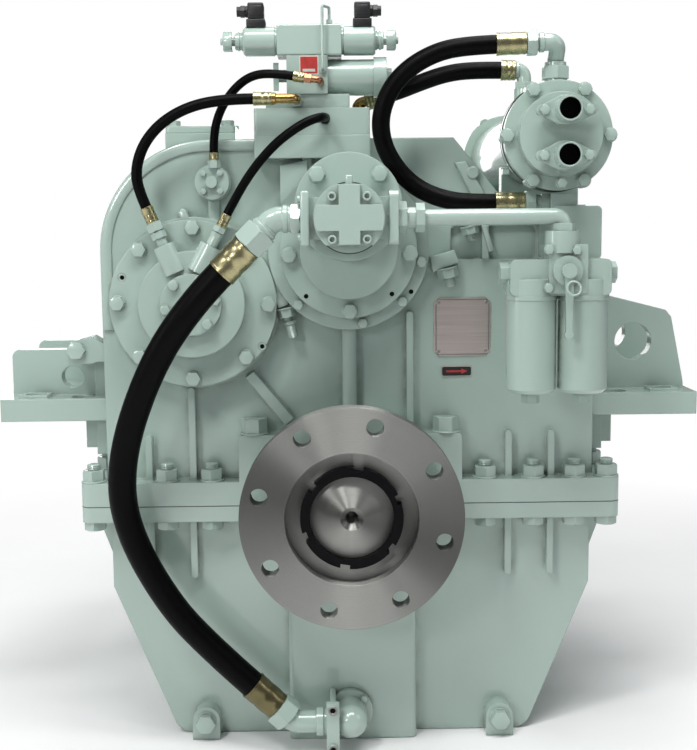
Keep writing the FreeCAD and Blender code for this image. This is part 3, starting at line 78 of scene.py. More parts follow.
# Faces that meet at more than this are shaded with a sharp edge
SHARP_ANGLE = math.radians(35.0)

# Direction, across the output axis, of the painted highlight on the turned steel: its colour is lighter along
# this line and darker across it
PAINTED_SHEEN_LINE = (0.26, 0.0, 0.966)

# Light that the surroundings give, and where the floor turns white, in metres
SURROUND_STRENGTH = 0.2
FLOOR_FADE_CENTRE = (0.0, 0.3, 0.0)
FLOOR_FADE_START = 0.75
FLOOR_FADE_END = 1.9

# Camera, solved from the photograph: place, heading and roll
CAMERA_PLACE = (-19.27, -1600.0, 399.39)
CAMERA_YAW = math.radians(0.59)
CAMERA_PITCH = math.radians(6.888)
CAMERA_ROLL = math.radians(0.6)
SENSOR_SIZE = 36.0
FOCAL_PIXELS = 1160.0
IMAGE_HEIGHT = 750.0

# Colours, as written in sRGB
PAINT = (0.625, 0.70, 0.665)
# Paint is mixed towards this dark colour in corners: a painted shade, broken up into patches like dirt
PAINT_SHADE_AND_DIRT = (0.36, 0.38, 0.33)
RUBBER = (0.002, 0.002, 0.0022)
STEEL = (0.60, 0.60, 0.585)
DARK_STEEL = (0.34, 0.34, 0.35)
BLACK_OXIDE = (0.105, 0.105, 0.11)
GOLD_ZINC = (0.68, 0.65, 0.50)
OLIVE_ZINC = (0.47, 0.44, 0.32)
BRASS = (0.72, 0.60, 0.38)
COPPER = (0.70, 0.50, 0.38)
PLASTIC = (0.07, 0.07, 0.075)
PLATE = (0.78, 0.73, 0.71)
LABEL_RED = (0.70, 0.22, 0.20)
LABEL_EDGE = (0.80, 0.80, 0.76)
SEAM = (0.16, 0.17, 0.16)

# Hose routes, the same points as the solid hoses follow
SUCTION_ROUTE = [
    (-173, -32, 350), (-217, -32, 306), (-278, -8, 217), (-328, 28, 89),
    (-328, 40, -14), (-268, 50, -137), (-198, 56, -216), (-149, 56, -262)]
CLUTCH_ROUTE = [
    (-132, 70, 591), (-168, 70, 591), (-220, 72, 583), (-263, 76, 561),
    (-291, 80, 530), (-303, 82, 494), (-299, 82, 465), (-289, 82, 441)]
SENSING_ROUTE = [
    (-75, 80, 623), (-103, 84, 628), (-135, 94, 627), (-161, 102, 610),
    (-183, 106, 580), (-193, 106, 545), (-193, 106, 519)]
LUBE_ROUTE = [
    (-32, 84, 565), (-32, 56, 565), (-58, 38, 556), (-98, 43, 530),
    (-133, 60, 494), (-160, 82, 456), (-174, 82, 430)]
COOLER_ROUTE = [
    (206, 40, 658), (170, 41, 657), (128, 46, 651), (89, 54, 632), (61, 60, 604), (46, 65, 566),
    (49, 68, 528), (68, 66, 492), (98, 63, 463), (136, 56, 447), (173, 50, 442), (207, 50, 442)]
RETURN_ROUTE = [
    (228, 150, 638), (190, 152, 639), (150, 160, 636), (110, 172, 624), (77, 182, 612),
    (47, 186, 604)]


def linear(colour):
    """An sRGB colour as Blender's shaders take it"""
    channels = [c / 12.92 if c <= 0.04045 else ((c + 0.055) / 1.055) ** 2.4 for c in colour]
    return (channels[0], channels[1], channels[2], 1.0)


def shade(colour, factor):
    """A colour made lighter or darker"""
    return tuple(min(1.0, c * factor) for c in colour)


# Materials

class Shader:
    """A node tree for one procedural material"""

    def __init__(self, name, roughness=0.5, metallic=0.0):
        self.material = bpy.data.materials.new(name)
        self.material.use_nodes = True
        self.tree = self.material.node_tree
        self.surface = self.tree.nodes["Principled BSDF"]
        self.surface.inputs["Roughness"].default_value = roughness
        self.surface.inputs["Metallic"].default_value = metallic
        self.place = self.node("ShaderNodeTexCoord").outputs["Object"]

    def node(self, kind, **settings):
        """Add a node with its settings"""
        made = self.tree.nodes.new(kind)
        for key, value in settings.items():
            setattr(made, key, value)
        return made

    def link(self, source, target):
        """Join two sockets"""
        self.tree.links.new(source, target)

    def feed(self, socket, source):
        """Join a value to one of the surface's sockets"""
        self.link(source, self.surface.inputs[socket])

    def noise(self, scale, detail=4.0, vector=None):
        """A noise value over the surface; scale is in cycles per metre"""
        made = self.node("ShaderNodeTexNoise")
        made.inputs["Scale"].default_value = scale
        made.inputs["Detail"].default_value = detail
        self.link(vector or self.place, made.inputs["Vector"])
        return made.outputs["Fac"]

    def times(self, first, second):
        """The product of two values"""
        made = self.node("ShaderNodeMath", operation="MULTIPLY")
        self.link(first, made.inputs[0])
        self.link(second, made.inputs[1])
        return made.outputs[0]

    def spread(self, value, low, high, to_low=0.0, to_high=1.0):
        """A value mapped from one range to another"""
        made = self.node("ShaderNodeMapRange")
        for socket, number in zip(("From Min", "From Max", "To Min", "To Max"), (low, high, to_low, to_high)):
            made.inputs[socket].default_value = number
        self.link(value, made.inputs["Value"])
        return made.outputs["Result"]

    def mix(self, factor, first, second):
        """A colour between two colours or sockets"""
        made = self.node("ShaderNodeMix", data_type="RGBA")
        for socket, value in ((made.inputs[6], first), (made.inputs[7], second)):
            if isinstance(value, tuple):
                socket.default_value = linear(value)
            else:
                self.link(value, socket)
        self.link(factor, made.inputs[0])
        return made.outputs[2]

    def bump(self, height, distance, strength=1.0, after=None):
        """A bump from a height value, on top of another normal"""
        made = self.node("ShaderNodeBump")
        made.inputs["Distance"].default_value = distance
        made.inputs["Strength"].default_value = strength
        self.link(height, made.inputs["Height"])
        if after:
            self.link(after, made.inputs["Normal"])
        return made.outputs["Normal"]

    def soft_edges(self, radius):
        """A normal that rounds sharp edges"""
        made = self.node("ShaderNodeBevel", samples=4)
        made.inputs["Radius"].default_value = radius
        return made.outputs["Normal"]

    def crevice(self, distance):
        """1 in the open, falling to 0 in corners"""
        made = self.node("ShaderNodeAmbientOcclusion", samples=6)
        made.inputs["Distance"].default_value = distance
        return made.outputs["AO"]


def paint_material(name, colour, edge_radius, cast_height):
    """Thick glossy enamel over a casting: soft edges, waviness, orange peel, and a painted shade that darkens
    corners in patches like dirt
    """
    s = Shader(name)
    tone = s.spread(s.noise(5.0, 2.0), 0.3, 0.7)
    base = s.mix(tone, shade(colour, 0.985), shade(colour, 1.015))
    # Painted shade: the colour darkens in corners and creases, by ambient occlusion, in noise patches like
    # dirt
    corner_shade = s.spread(s.crevice(0.016), 0.25, 0.85, 1.0, 0.0)
    patches = s.spread(s.noise(34.0, 6.0), 0.40, 0.62)
    corner_shade_and_dirt = s.spread(s.times(corner_shade, patches), 0.0, 1.0, 0.0, 0.7)
    s.feed("Base Color", s.mix(corner_shade_and_dirt, base, PAINT_SHADE_AND_DIRT))
    s.feed("Roughness", s.spread(s.noise(25.0, 2.0), 0.3, 0.7, 0.22, 0.27))
    normal = s.bump(s.noise(30.0, 2.0), cast_height * 0.8, 0.25, s.soft_edges(edge_radius))
    normal = s.bump(s.noise(420.0, 3.0), cast_height * 0.03, 0.3, normal)
    s.feed("Normal", normal)
    s.surface.inputs["Coat Weight"].default_value = 0.8
    s.surface.inputs["Coat Roughness"].default_value = 0.06
    s.surface.inputs["Specular IOR Level"].default_value = 0.5
    return s.material


def rubber_material():
    """Smooth black hose cover with a faint wrap and dust"""
    s = Shader("hose_rubber")
    tone = s.spread(s.noise(60.0, 5.0), 0.35, 0.7)
    s.feed("Base Color", s.mix(tone, RUBBER, shade(RUBBER, 1.5)))
    s.feed("Roughness", s.spread(s.noise(140.0, 4.0), 0.3, 0.7, 0.36, 0.5))
    s.surface.inputs["Specular IOR Level"].default_value = 0.08
    s.feed("Normal", s.bump(s.noise(900.0, 3.0), 0.0002, 0.4))
    return s.material


def metal_material(name, colour, roughness, edge_radius=0.0006, grain=700.0, stain=0.12, pits=0.00006):
    """Plated or bare metal with a fine grain, light stains and soft edges"""
    s = Shader(name, metallic=1.0)
    tone = s.spread(s.noise(45.0, 5.0), 0.35, 0.7)
    s.feed("Base Color", s.mix(tone, colour, shade(colour, 1.0 - stain)))
    uneven = s.spread(s.noise(220.0, 4.0), 0.3, 0.7, roughness * (1.0 - stain), roughness * (1.0 + stain))
    s.feed("Roughness", uneven)
    s.feed("Normal", s.bump(s.noise(grain, 3.0), pits, 0.25, s.soft_edges(edge_radius)))
    return s.material


def turned_steel_material():
    """Turned steel: rings about the output axis, with a painted sheen, lighter and darker colour that fans
    out from the centre and turns with the part
    """
    s = Shader("turned_steel", metallic=1.0)
    flatten = s.node("ShaderNodeVectorMath", operation="MULTIPLY")
    flatten.inputs[1].default_value = (1.0, 0.0, 1.0)
    s.link(s.place, flatten.inputs[0])
    distance = s.node("ShaderNodeVectorMath", operation="LENGTH")
    s.link(flatten.outputs[0], distance.inputs[0])
    rings = s.node("ShaderNodeTexNoise", noise_dimensions="1D")
    rings.inputs["Scale"].default_value = 2200.0
    rings.inputs["Detail"].default_value = 3.0
    s.link(distance.outputs["Value"], rings.inputs["W"])
    tone = s.spread(rings.outputs["Fac"], 0.3, 0.7)
    fine = s.mix(tone, shade(STEEL, 0.95), shade(STEEL, 1.2))
    # Painted highlight and shade: the colour is lighter along the sheen line and darker across it, fanning
    # out from the axis
    unit = s.node("ShaderNodeVectorMath", operation="NORMALIZE")
    s.link(flatten.outputs[0], unit.inputs[0])
    lean = s.node("ShaderNodeVectorMath", operation="DOT_PRODUCT")
    lean.inputs[1].default_value = PAINTED_SHEEN_LINE
    s.link(unit.outputs[0], lean.inputs[0])
    painted_sheen_fan = s.times(lean.outputs["Value"], lean.outputs["Value"])
    painted_sheen_shade = s.spread(painted_sheen_fan, 0.0, 0.95, 0.8, 0.0)
    s.feed("Base Color", s.mix(painted_sheen_shade, fine, shade(STEEL, 0.42)))
    s.feed("Roughness", s.spread(rings.outputs["Fac"], 0.3, 0.7, 0.36, 0.46))
    s.feed("Normal", s.bump(rings.outputs["Fac"], 0.00004, 0.35, s.soft_edges(0.0012)))
    around = s.node("ShaderNodeTangent", direction_type="RADIAL", axis="Y")
    s.feed("Tangent", around.outputs["Tangent"])
    s.surface.inputs["Anisotropic"].default_value = 0.93
    s.surface.inputs["Anisotropic Rotation"].default_value = 0.25
    return s.material


def plastic_material():
    """Moulded black plastic"""
    s = Shader("moulded_plastic")
    tone = s.spread(s.noise(120.0, 4.0), 0.35, 0.65)
    s.feed("Base Color", s.mix(tone, PLASTIC, shade(PLASTIC, 1.35)))
    s.feed("Roughness", s.spread(s.noise(300.0, 3.0), 0.3, 0.7, 0.38, 0.5))
    s.feed("Normal", s.bump(s.noise(1500.0, 2.0), 0.0001, 0.4, s.soft_edges(0.0008)))
    return s.material


def brushed_plate_material():
    """Plate metal brushed along X"""
    s = Shader("brushed_plate", metallic=0.75)
    stretch = s.node("ShaderNodeMapping")
    stretch.inputs["Scale"].default_value = (12.0, 900.0, 900.0)
    s.link(s.place, stretch.inputs["Vector"])
    lines = s.noise(1.0, 4.0, stretch.outputs["Vector"])
    tone = s.spread(lines, 0.3, 0.7)
    s.feed("Base Color", s.mix(tone, shade(PLATE, 0.96), shade(PLATE, 1.04)))
    s.feed("Roughness", s.spread(lines, 0.3, 0.7, 0.30, 0.38))
    s.feed("Normal", s.bump(lines, 0.00001, 0.2, s.soft_edges(0.0004)))
    return s.material


def label_material(name, colour):
    """Bare enamelled label"""
    s = Shader(name, roughness=0.35)
    tone = s.spread(s.noise(160.0, 4.0), 0.35, 0.65)
    s.feed("Base Color", s.mix(tone, colour, shade(colour, 0.88)))
    s.feed("Normal", s.bump(s.noise(800.0, 2.0), 0.00008, 0.3))
    return s.material


# Geometry, in millimetres until it is made into an object

def rectangle(x0, z0, x1, z1):
    """The outline of a rectangle, for a plate"""
    return [(x0, z0), (x1, z0), (x1, z1), (x0, z1)]


def circle(centre, side, up, radius, segments, turn=0.0):
    """Points round a centre, in the plane of two directions"""
    angles = [2 * math.pi * i / segments + turn for i in range(segments)]
    return [centre + side * (radius * math.cos(a)) + up * (radius * math.sin(a)) for a in angles]


class Shape:
    """Mesh parts collected into one piece"""

    def __init__(self):
        self.bm = bmesh.new()

    def loft(self, rings, close_ends=True, closed_rings=True):
        """Skin a list of equal-length point rings"""
        made = [[self.bm.verts.new(point) for point in ring] for ring in rings]
        count = len(rings[0])
        for lower, upper in zip(made, made[1:]):
            for i in range(count if closed_rings else count - 1):
                j = (i + 1) % count
                self.bm.faces.new((lower[i], lower[j], upper[j], upper[i]))
        if close_ends:
            self.bm.faces.new(made[0][::-1])
            self.bm.faces.new(made[-1])

    def turned(self, start, heading, profile, segments=48, hollow=False):
        """A body of revolution from (distance, radius) pairs; a hollow one closes on itself"""
        side, up, along = axes_of(heading)
        origin = Vector(start)
        rings = [circle(origin + along * distance, side, up, radius, segments)
                 for distance, radius in profile]
        if hollow:
            rings.append(rings[0])
        self.loft(rings, close_ends=not hollow)

    def hexagon(self, start, heading, flats, height, chamfer_ends=(False, True), turn=0.0):
        """A hexagon nut or head with conical chamfers"""
        side, up, along = axes_of(heading)
        origin = Vector(start)
        apothem = flats / 2
        segments = 36

        def corner_ring(distance, chamfered, outward):
            points = []
            for i in range(segments):
                angle = 2 * math.pi * i / segments
                radius = apothem / math.cos((angle % (math.pi / 3)) - math.pi / 6)
                drop = (radius - apothem) * 0.6 if chamfered else 0.0
                centre = origin + along * (distance - outward * drop)
                across = side * (radius * math.cos(angle + turn))
                points.append(centre + across + up * (radius * math.sin(angle + turn)))
            return points

        def round_ring(distance):
            return circle(origin + along * distance, side, up, apothem * 0.97, segments, turn)

        rings = []
        if chamfer_ends[0]:
            rings.append(round_ring(0.0))
        rings.append(corner_ring(0.0, chamfer_ends[0], -1.0))
        rings.append(corner_ring(height, chamfer_ends[1], 1.0))
        if chamfer_ends[1]:
            rings.append(round_ring(height))
        self.loft(rings)

    def pipe(self, points, radius, bend, segments=32):
        """A round pipe through points, bent with a radius at each corner"""
        line = bent_line([Vector(p) for p in points], bend)
        self.loft(swept_rings(line, radius, segments))

    def block(self, low, high, soft=1.5):
        """A block with rounded edges"""
        made = bmesh.ops.create_cube(self.bm, size=1.0)
        size = Vector(high) - Vector(low)
        middle = (Vector(high) + Vector(low)) / 2
        for vert in made["verts"]:
            vert.co = Vector((vert.co.x * size.x, vert.co.y * size.y, vert.co.z * size.z)) + middle
        edges = {edge for vert in made["verts"] for edge in vert.link_edges}
        bmesh.ops.bevel(self.bm, geom=list(edges), offset=soft, segments=3, affect="EDGES", profile=0.5)

    def outline_plate(self, points, y0, y1, soft=0.0):
        """A plate along Y from an outline of (x, z) points"""
        front = [self.bm.verts.new((x, y0, z)) for x, z in points]
        back = [self.bm.verts.new((x, y1, z)) for x, z in points]
        faces = [self.bm.faces.new(front), self.bm.faces.new(back[::-1])]
        count = len(points)
        for i in range(count):
            j = (i + 1) % count
            faces.append(self.bm.faces.new((front[j], front[i], back[i], back[j])))
        if soft:
            edges = list(faces[0].edges)
            bmesh.ops.bevel(self.bm, geom=edges, offset=soft, segments=2, affect="EDGES", profile=0.5)

    def piece(self, name, material, body="gearbox", replaces=()):
        """Make the object, in metres, riding on a body"""
        bmesh.ops.recalc_face_normals(self.bm, faces=self.bm.faces)
        bmesh.ops.scale(self.bm, vec=(MM, MM, MM), verts=self.bm.verts)
        mesh = bpy.data.meshes.new(name)
        self.bm.to_mesh(mesh)
        self.bm.free()
        mesh.materials.append(material)
        mesh.shade_smooth()
        mesh.set_sharp_from_angle(angle=SHARP_ANGLE)
        made = bpy.data.objects.new(name, mesh)
        bpy.context.scene.collection.objects.link(made)
        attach(made, body)
        if replaces:
            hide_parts(*replaces)
        return made


def axes_of(heading):
    """Two directions square to a heading, and the heading, all of unit length"""
    along = Vector(heading).normalized()
    helper = Vector((0, 0, 1)) if abs(along.z) < 0.9 else Vector((1, 0, 0))
    side = along.cross(helper).normalized()
    return side, along.cross(side).normalized(), along


def bent_line(points, bend, steps=8):
    """Points along a line with rounded corners"""
    line = [points[0]]
    for before, corner, after in zip(points, points[1:], points[2:]):
        incoming = (corner - before).normalized()
        outgoing = (after - corner).normalized()
        turn = incoming.angle(outgoing)
        if turn < 0.01:
            continue
        setback = bend * math.tan(turn / 2)
        centre = corner + (outgoing - incoming).normalized() * (bend / math.cos(turn / 2))
        start = corner - incoming * setback
        axis = incoming.cross(outgoing).normalized()
        for i in range(steps + 1):
            line.append(centre + Matrix.Rotation(turn * i / steps, 3, axis) @ (start - centre))
    line.append(points[-1])
    return line


def swept_rings(line, radius, segments):
    """Rings square to a line, without twist"""
    rings = []
    side, up, along = axes_of(line[1] - line[0])
    for i, point in enumerate(line):
        before = line[max(i - 1, 0)]
        after = line[min(i + 1, len(line) - 1)]
        heading = (after - before).normalized()
        side = (side - heading * side.dot(heading)).normalized()
        up = heading.cross(side)
        rings.append(circle(point, side, up, radius, segments))
    return rings


def beyond(route, last, length):
    """A point a length beyond a route's first or last point, and the heading there"""
    tip = Vector(route[-1 if last else 0])
    heading = (tip - Vector(route[-2 if last else 1])).normalized()
    return tip + heading * length, heading


def crimped(shape, route, last, length, radius):
    """A ferrule with a rolled lip and crimp grooves, from a hose's end outwards"""
    start, heading = beyond(route, last, 0.0)
    lip = min(3.0, length * 0.12)
    profile = [(-0.4, radius * 0.90), (0.0, radius * 1.03), (lip, radius * 1.03), (lip + 0.6, radius)]
    grooves = 2
    step = (length - lip - 5.0) / grooves
    for i in range(grooves):
        place = lip + 1.5 + step * i
        profile += [(place + step * 0.55, radius), (place + step * 0.65, radius * 0.975),
                    (place + step * 0.92, radius * 0.975), (place + step, radius)]
    profile += [(length - 1.6, radius), (length, radius * 0.88)]
    shape.turned(start, heading, profile)


def hose(name, route, diameter, material, parts):
    """A hose as a curve through its route's points"""
    data = bpy.data.curves.new(name, "CURVE")
    data.dimensions = "3D"
    data.bevel_depth = diameter / 2 * MM
    data.bevel_resolution = 8
    data.resolution_u = 24
    data.use_fill_caps = True
    spline = data.splines.new("NURBS")
    spline.points.add(len(route) - 1)
    for point, place in zip(spline.points, route):
        point.co = (place[0] * MM, place[1] * MM, place[2] * MM, 1.0)
    spline.order_u = 3
    spline.use_endpoint_u = True
    data.materials.append(material)
    made = bpy.data.objects.new(name, data)
    bpy.context.scene.collection.objects.link(made)
    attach(made, "gearbox")
    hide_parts(*parts)


def bolt_head(shape, place, heading, flats, height, washer=True, turn=0.0):
    """A chamfered hexagon head or nut, with a washer under it"""
    start = Vector(place)
    along = Vector(heading).normalized()
    if washer:
        thick = min(2.5, height * 0.18)
        radius = flats * 0.62
        shape.turned(start, along, [(0.0, radius), (thick * 0.7, radius), (thick, radius * 0.96)], 40)
        start = start + along * thick
        height -= thick
    shape.hexagon(start, along, flats, height, turn=turn)


def threaded_end(shape, place, heading, radius, length, pitch=2.5):
    """The end of a stud, with its thread and a rounded tip"""
    profile = [(-1.0, radius * 0.92)]
    for i in range(int(length / pitch)):
        profile += [(pitch * (i + 0.25), radius * 0.92), (pitch * (i + 0.75), radius)]
    profile += [(length - 0.6, radius * 0.90), (length, radius * 0.72)]
    shape.turned(place, heading, profile, 24)


def islands(node):
    """The separate solids of a frame node, each as a list of corner points in millimetres"""
    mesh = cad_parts[node].data
    index = {}
    places = []
    of_vertex = []
    for vertex in mesh.vertices:
        key = tuple(round(c * GRID_STEPS_PER_METRE) for c in vertex.co)
        if key not in index:
            index[key] = len(places)
            places.append(vertex.co / MM)
        of_vertex.append(index[key])
    parent = list(range(len(places)))

    def root(i):
        while parent[i] != i:
            parent[i] = parent[parent[i]]
            i = parent[i]
        return i

    for polygon in mesh.polygons:
        first = root(of_vertex[polygon.vertices[0]])
        for vertex in polygon.vertices[1:]:
            parent[root(of_vertex[vertex])] = first
    groups = {}
    for i, place in enumerate(places):
        groups.setdefault(root(i), []).append(place)
    return list(groups.values())


def extent(points):
    """Lowest and highest corner of some points"""
    low = Vector([min(p[i] for p in points) for i in range(3)])
    high = Vector([max(p[i] for p in points) for i in range(3)])
    return low, high


def head_axis(points):
    """The axis, as 0, 1 or 2, of a screw head, which has few levels along it"""
    counts = [len({round(p[axis], 1) for p in points}) for axis in range(3)]
    return counts.index(min(counts))


def outward(low, high, axis):
    """The direction that a head on the casing's skin points, from where it sits"""
    direction = Vector((0, 0, 0))
    middle = (low[axis] + high[axis]) / 2
    pivot = (0.0, CASE_MIDDLE_Y, 0.0)[axis]
    direction[axis] = 1 if middle > pivot else -1
    return direction


# Scene

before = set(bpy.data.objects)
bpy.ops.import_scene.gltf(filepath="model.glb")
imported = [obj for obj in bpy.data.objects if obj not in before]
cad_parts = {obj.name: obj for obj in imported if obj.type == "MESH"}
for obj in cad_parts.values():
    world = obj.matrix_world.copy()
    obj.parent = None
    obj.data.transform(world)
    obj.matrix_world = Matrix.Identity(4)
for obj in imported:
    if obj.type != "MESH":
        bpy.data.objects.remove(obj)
cad_low, cad_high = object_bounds()

paint = paint_material("casting_paint", PAINT, 0.0028, 0.0009)
smooth_paint = paint_material("smooth_paint", PAINT, 0.0014, 0.0003)
rubber = rubber_material()
turned_steel = turned_steel_material()
bare_steel = metal_material("bare_steel", STEEL, 0.32)
dark_steel = metal_material("dark_steel", DARK_STEEL, 0.36)
black_oxide = metal_material("black_oxide", BLACK_OXIDE, 0.42, 0.0008)
gold_zinc = metal_material("gold_zinc", GOLD_ZINC, 0.28, 0.0004, 500.0, 0.06, 0.000004)
olive_zinc = metal_material("olive_zinc", OLIVE_ZINC, 0.30, 0.0004, 500.0, 0.10, 0.000004)
brass = metal_material("brass", BRASS, 0.26, pits=0.00001)
copper = metal_material("copper", COPPER, 0.28, pits=0.00001)
plastic = plastic_material()
brushed_plate = brushed_plate_material()
label_red = label_material("label_red", LABEL_RED)
label_edge = label_material("label_edge", LABEL_EDGE)
seam_dark = label_material("seam_dark", SEAM)

FRAME_FINISHES = (
    (paint, ("lower_casing", "upper_casing", "mounting_bracket_left", "mounting_bracket_right", "rear_covers",
             "output_bearing_cover", "clutch_cover", "pump_housing", "cooler_front_cap", "cooler_rear_cap",
             "cooler_saddles", "strainer_housing", "pump_flange", "top_cover")),
    (smooth_paint, ("pump_body", "pump_end_cover", "valve_base", "valve_subplate", "lower_valve",
                    "lube_valve", "cooler_shell", "filter_head", "filter_bowls", "delivery_pipe",
                    "solenoid_valve", "selector_lever", "changeover_lever", "solenoid_coils", "joint_bolts",
                    "cover_screws")),
    (turned_steel, ("output_shaft", "output_coupling")),
    (bare_steel, ("input_coupling", "input_shaft")),
    (dark_steel, ("output_gear", "forward_pinion", "reverse_pinion", "forward_clutch_drum",
                  "reverse_clutch_drum", "reverse_shaft", "pump_driver", "pump_idler", "shaft_bearings",
                  "strainer_screen")),
    (black_oxide, ("output_nut",)),
    (copper, ("cooler_tube_bundle",)),
    (brushed_plate, ("plates",)),
    (plastic, ("filter_elements",)),
    (olive_zinc, ("suction_fittings", "pilot_fittings", "cooler_fittings")))


def dress_frame():
    """Give each listed frame node its finish"""
    for material, nodes in FRAME_FINISHES:
        for node in nodes:
            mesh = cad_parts[node].data
            mesh.materials.clear()
            mesh.materials.append(material)


def make_hoses():
    """The six hoses"""
    for name, route, diameter in (
            ("suction_hose", SUCTION_ROUTE, 40.0), ("clutch_hose", CLUTCH_ROUTE, 15.5),
            ("sensing_hose", SENSING_ROUTE, 12.5), ("lube_hose", LUBE_ROUTE, 13.0),
            ("cooler_hose", COOLER_ROUTE, 26.0), ("return_hose", RETURN_ROUTE, 25.0)):
        hose(name + "_cover", route, diameter, rubber, [name])


def ends(route, last, *lengths):
    """Points in line with a hose's end, each a length beyond it"""
    return [beyond(route, last, length)[0] for length in lengths]


def port_block(shape, side):
    """A pump port plate with rounded corners and four socket screws"""
    low, high = sorted((side * 53.0, side * 65.0))
    shape.block((low, -58, 385.5), (high, -6, 457.5), 3.0)
    for y in (-48, -16):
        for z in (396, 447):
            shape.turned((side * 65, y, z), (side, 0, 0), [
                (-1, 4.6), (3.4, 4.6), (4.0, 4.0), (4.0, 2.3), (1.0, 2.2)], 24)


def make_suction_fittings():
    """Fittings of the suction hose, the pump's inlet plate, the strainer's bolts and clamp screws, with
    painted shade in the clamp screws' sockets
    """
    gold = Shape()
    crimped(gold, SUCTION_ROUTE, False, 50, 21.5)
    gold.piece("suction_ferrule_top", gold_zinc, replaces=["suction_fittings"])
    olive = Shape()
    crimped(olive, SUCTION_ROUTE, True, 50, 21.5)
    olive.piece("suction_ferrule_low", olive_zinc, replaces=["suction_fittings"])
    top = Shape()
    start, after = ends(SUCTION_ROUTE, False, 49.5, 80)
    heading = after - start
    top.hexagon(start, heading, 44, 30.5, (True, True))
    top.turned(after, heading, [(-1, 19.5), (5, 19.5), (6, 18.0), (9, 18.0)])
    top.pipe([after, (-101.5, -32, 421.5), (-77, -32, 421.5)], 16.8, 24)
    top.turned((-90, -32, 421.5), (1, 0, 0), [(0, 16.9), (1.5, 18.8), (7, 18.8), (8.5, 17.4), (12, 17.4)])
    top.hexagon((-79, -32, 421.5), (1, 0, 0), 38, 14, (True, True))
    port_block(top, -1)
    top.piece("suction_elbow_top", smooth_paint, replaces=["suction_fittings"])
    low = Shape()
    start, after = ends(SUCTION_ROUTE, True, 49.5, 74)
    low.hexagon(start, after - start, 44, 24.5, (True, True))
    low.pipe([after, (-87.2, 56, -320), (-44, 56, -320)], 16.5, 20)
    low.turned((-56, 56, -320), (1, 0, 0), [(0, 16.6), (1, 21), (11, 21), (12, 20)])
    low.piece("suction_elbow_low", smooth_paint, replaces=["suction_fittings"])
    low_bolts = Shape()
    rims = Shape()
    socket_shade = Shape()
    for z in (-350, -290):
        rims.turned((-30.5, CLAMP_HEAD_Y + 0.5, z), (0, -1, 0), [
            (0, 4.0), (0, 6.9), (1.0, 6.9), (1.5, 6.4), (1.5, 4.6), (0.8, 4.0)], 32, hollow=True)
        # Painted shade: a flat dark hexagon stands in for the shade inside each clamp screw's socket
        socket_shade.turned((-30.5, CLAMP_HEAD_Y + 0.4, z), (0, -1, 0), [(0, 4.3), (0.6, 4.3), (0.8, 4.0)], 6)
    for z in (-341, -299):
        bolt_head(low_bolts, (16.9, 89, z), (0, -1, 0), 10, 5.5)
    low_bolts.piece("strainer_bolts", smooth_paint)
    rims.piece("clamp_screws", bare_steel)
    socket_shade.piece("clamp_socket_shade", black_oxide)


def make_pilot_fittings():
    """Crimped ends, brass and copper elbows and nuts of the three thin hoses, and the vent pipe"""
    gold = Shape()
    crimped(gold, CLUTCH_ROUTE, False, 26, 9.25)
    crimped(gold, CLUTCH_ROUTE, True, 24, 9.25)
    crimped(gold, SENSING_ROUTE, False, 16, 7.25)
    crimped(gold, SENSING_ROUTE, True, 11, 7.25)
    crimped(gold, LUBE_ROUTE, True, 20, 7.5)
    gold.piece("pilot_ferrules", gold_zinc, replaces=["pilot_fittings"])
    bent = Shape()
    bent.pipe([ends(CLUTCH_ROUTE, False, 25)[0], (-72, 70, 591), (-72, 105, 591)], 6.6, 9)
    collar, = ends(CLUTCH_ROUTE, False, 26)
    bent.turned(collar, (1, 0, 0), [(-1, 8.4), (5, 8.4), (6, 7.2)], 32)
    bent.piece("clutch_hose_elbow", brass, replaces=["pilot_fittings"])
    small = Shape()
    start, after = ends(SENSING_ROUTE, False, 15.5, 26)
    small.hexagon(start, after - start, 12, 10.5, (True, True))
    small.pipe([after, (-37, 74.6, 616.3), (-37, 102, 616.3)], 4.8, 7, 24)
    small.piece("sensing_hose_elbow", copper, replaces=["pilot_fittings"])
    painted = Shape()
    painted.hexagon((-72, 92, 591), (0, 1, 0), 17, 13, (True, False))
    for route, ferrule, nut, gap, flats in (
            (CLUTCH_ROUTE, 24, 24, 59, 22), (LUBE_ROUTE, 20, 16, 50, 17)):
        start, middle, after, seat = ends(
            route, True, ferrule - 0.5, ferrule + nut * 0.55, ferrule + nut, gap)
        heading = after - start
        painted.hexagon(start, heading, flats, nut * 0.55, (True, True))
        painted.hexagon(middle, heading, flats * 0.88, nut * 0.45, (True, True), 0.3)
        painted.turned(after, heading, [(-0.5, 8.0), ((seat - after).length, 8.0)], 32)
    painted.piece("pilot_nuts", smooth_paint, replaces=["pilot_fittings"])
    dark = Shape()
    dark.turned(LUBE_ROUTE[0], (0, 1, 0), [(0.0, 7.4), (1.0, 7.5), (16.0, 7.5)], 32)
    dark.piece("lube_hose_socket", rubber, replaces=["pilot_fittings"])
    vent = Shape()
    vent.pipe([
        (-34, 102, 634), (-34, 92, 634), (-34, 92, 722), (-24, 108, 722), (-24, 108, 699)], 2.1, 3.5, 16)
    vent.hexagon((-34, 101.8, 634), (0, -1, 0), 9, 5)
    vent.hexagon((-24, 108, 699), (0, 0, 1), 9, 6)
    vent.piece("vent_pipe", smooth_paint, replaces=["pilot_fittings"])


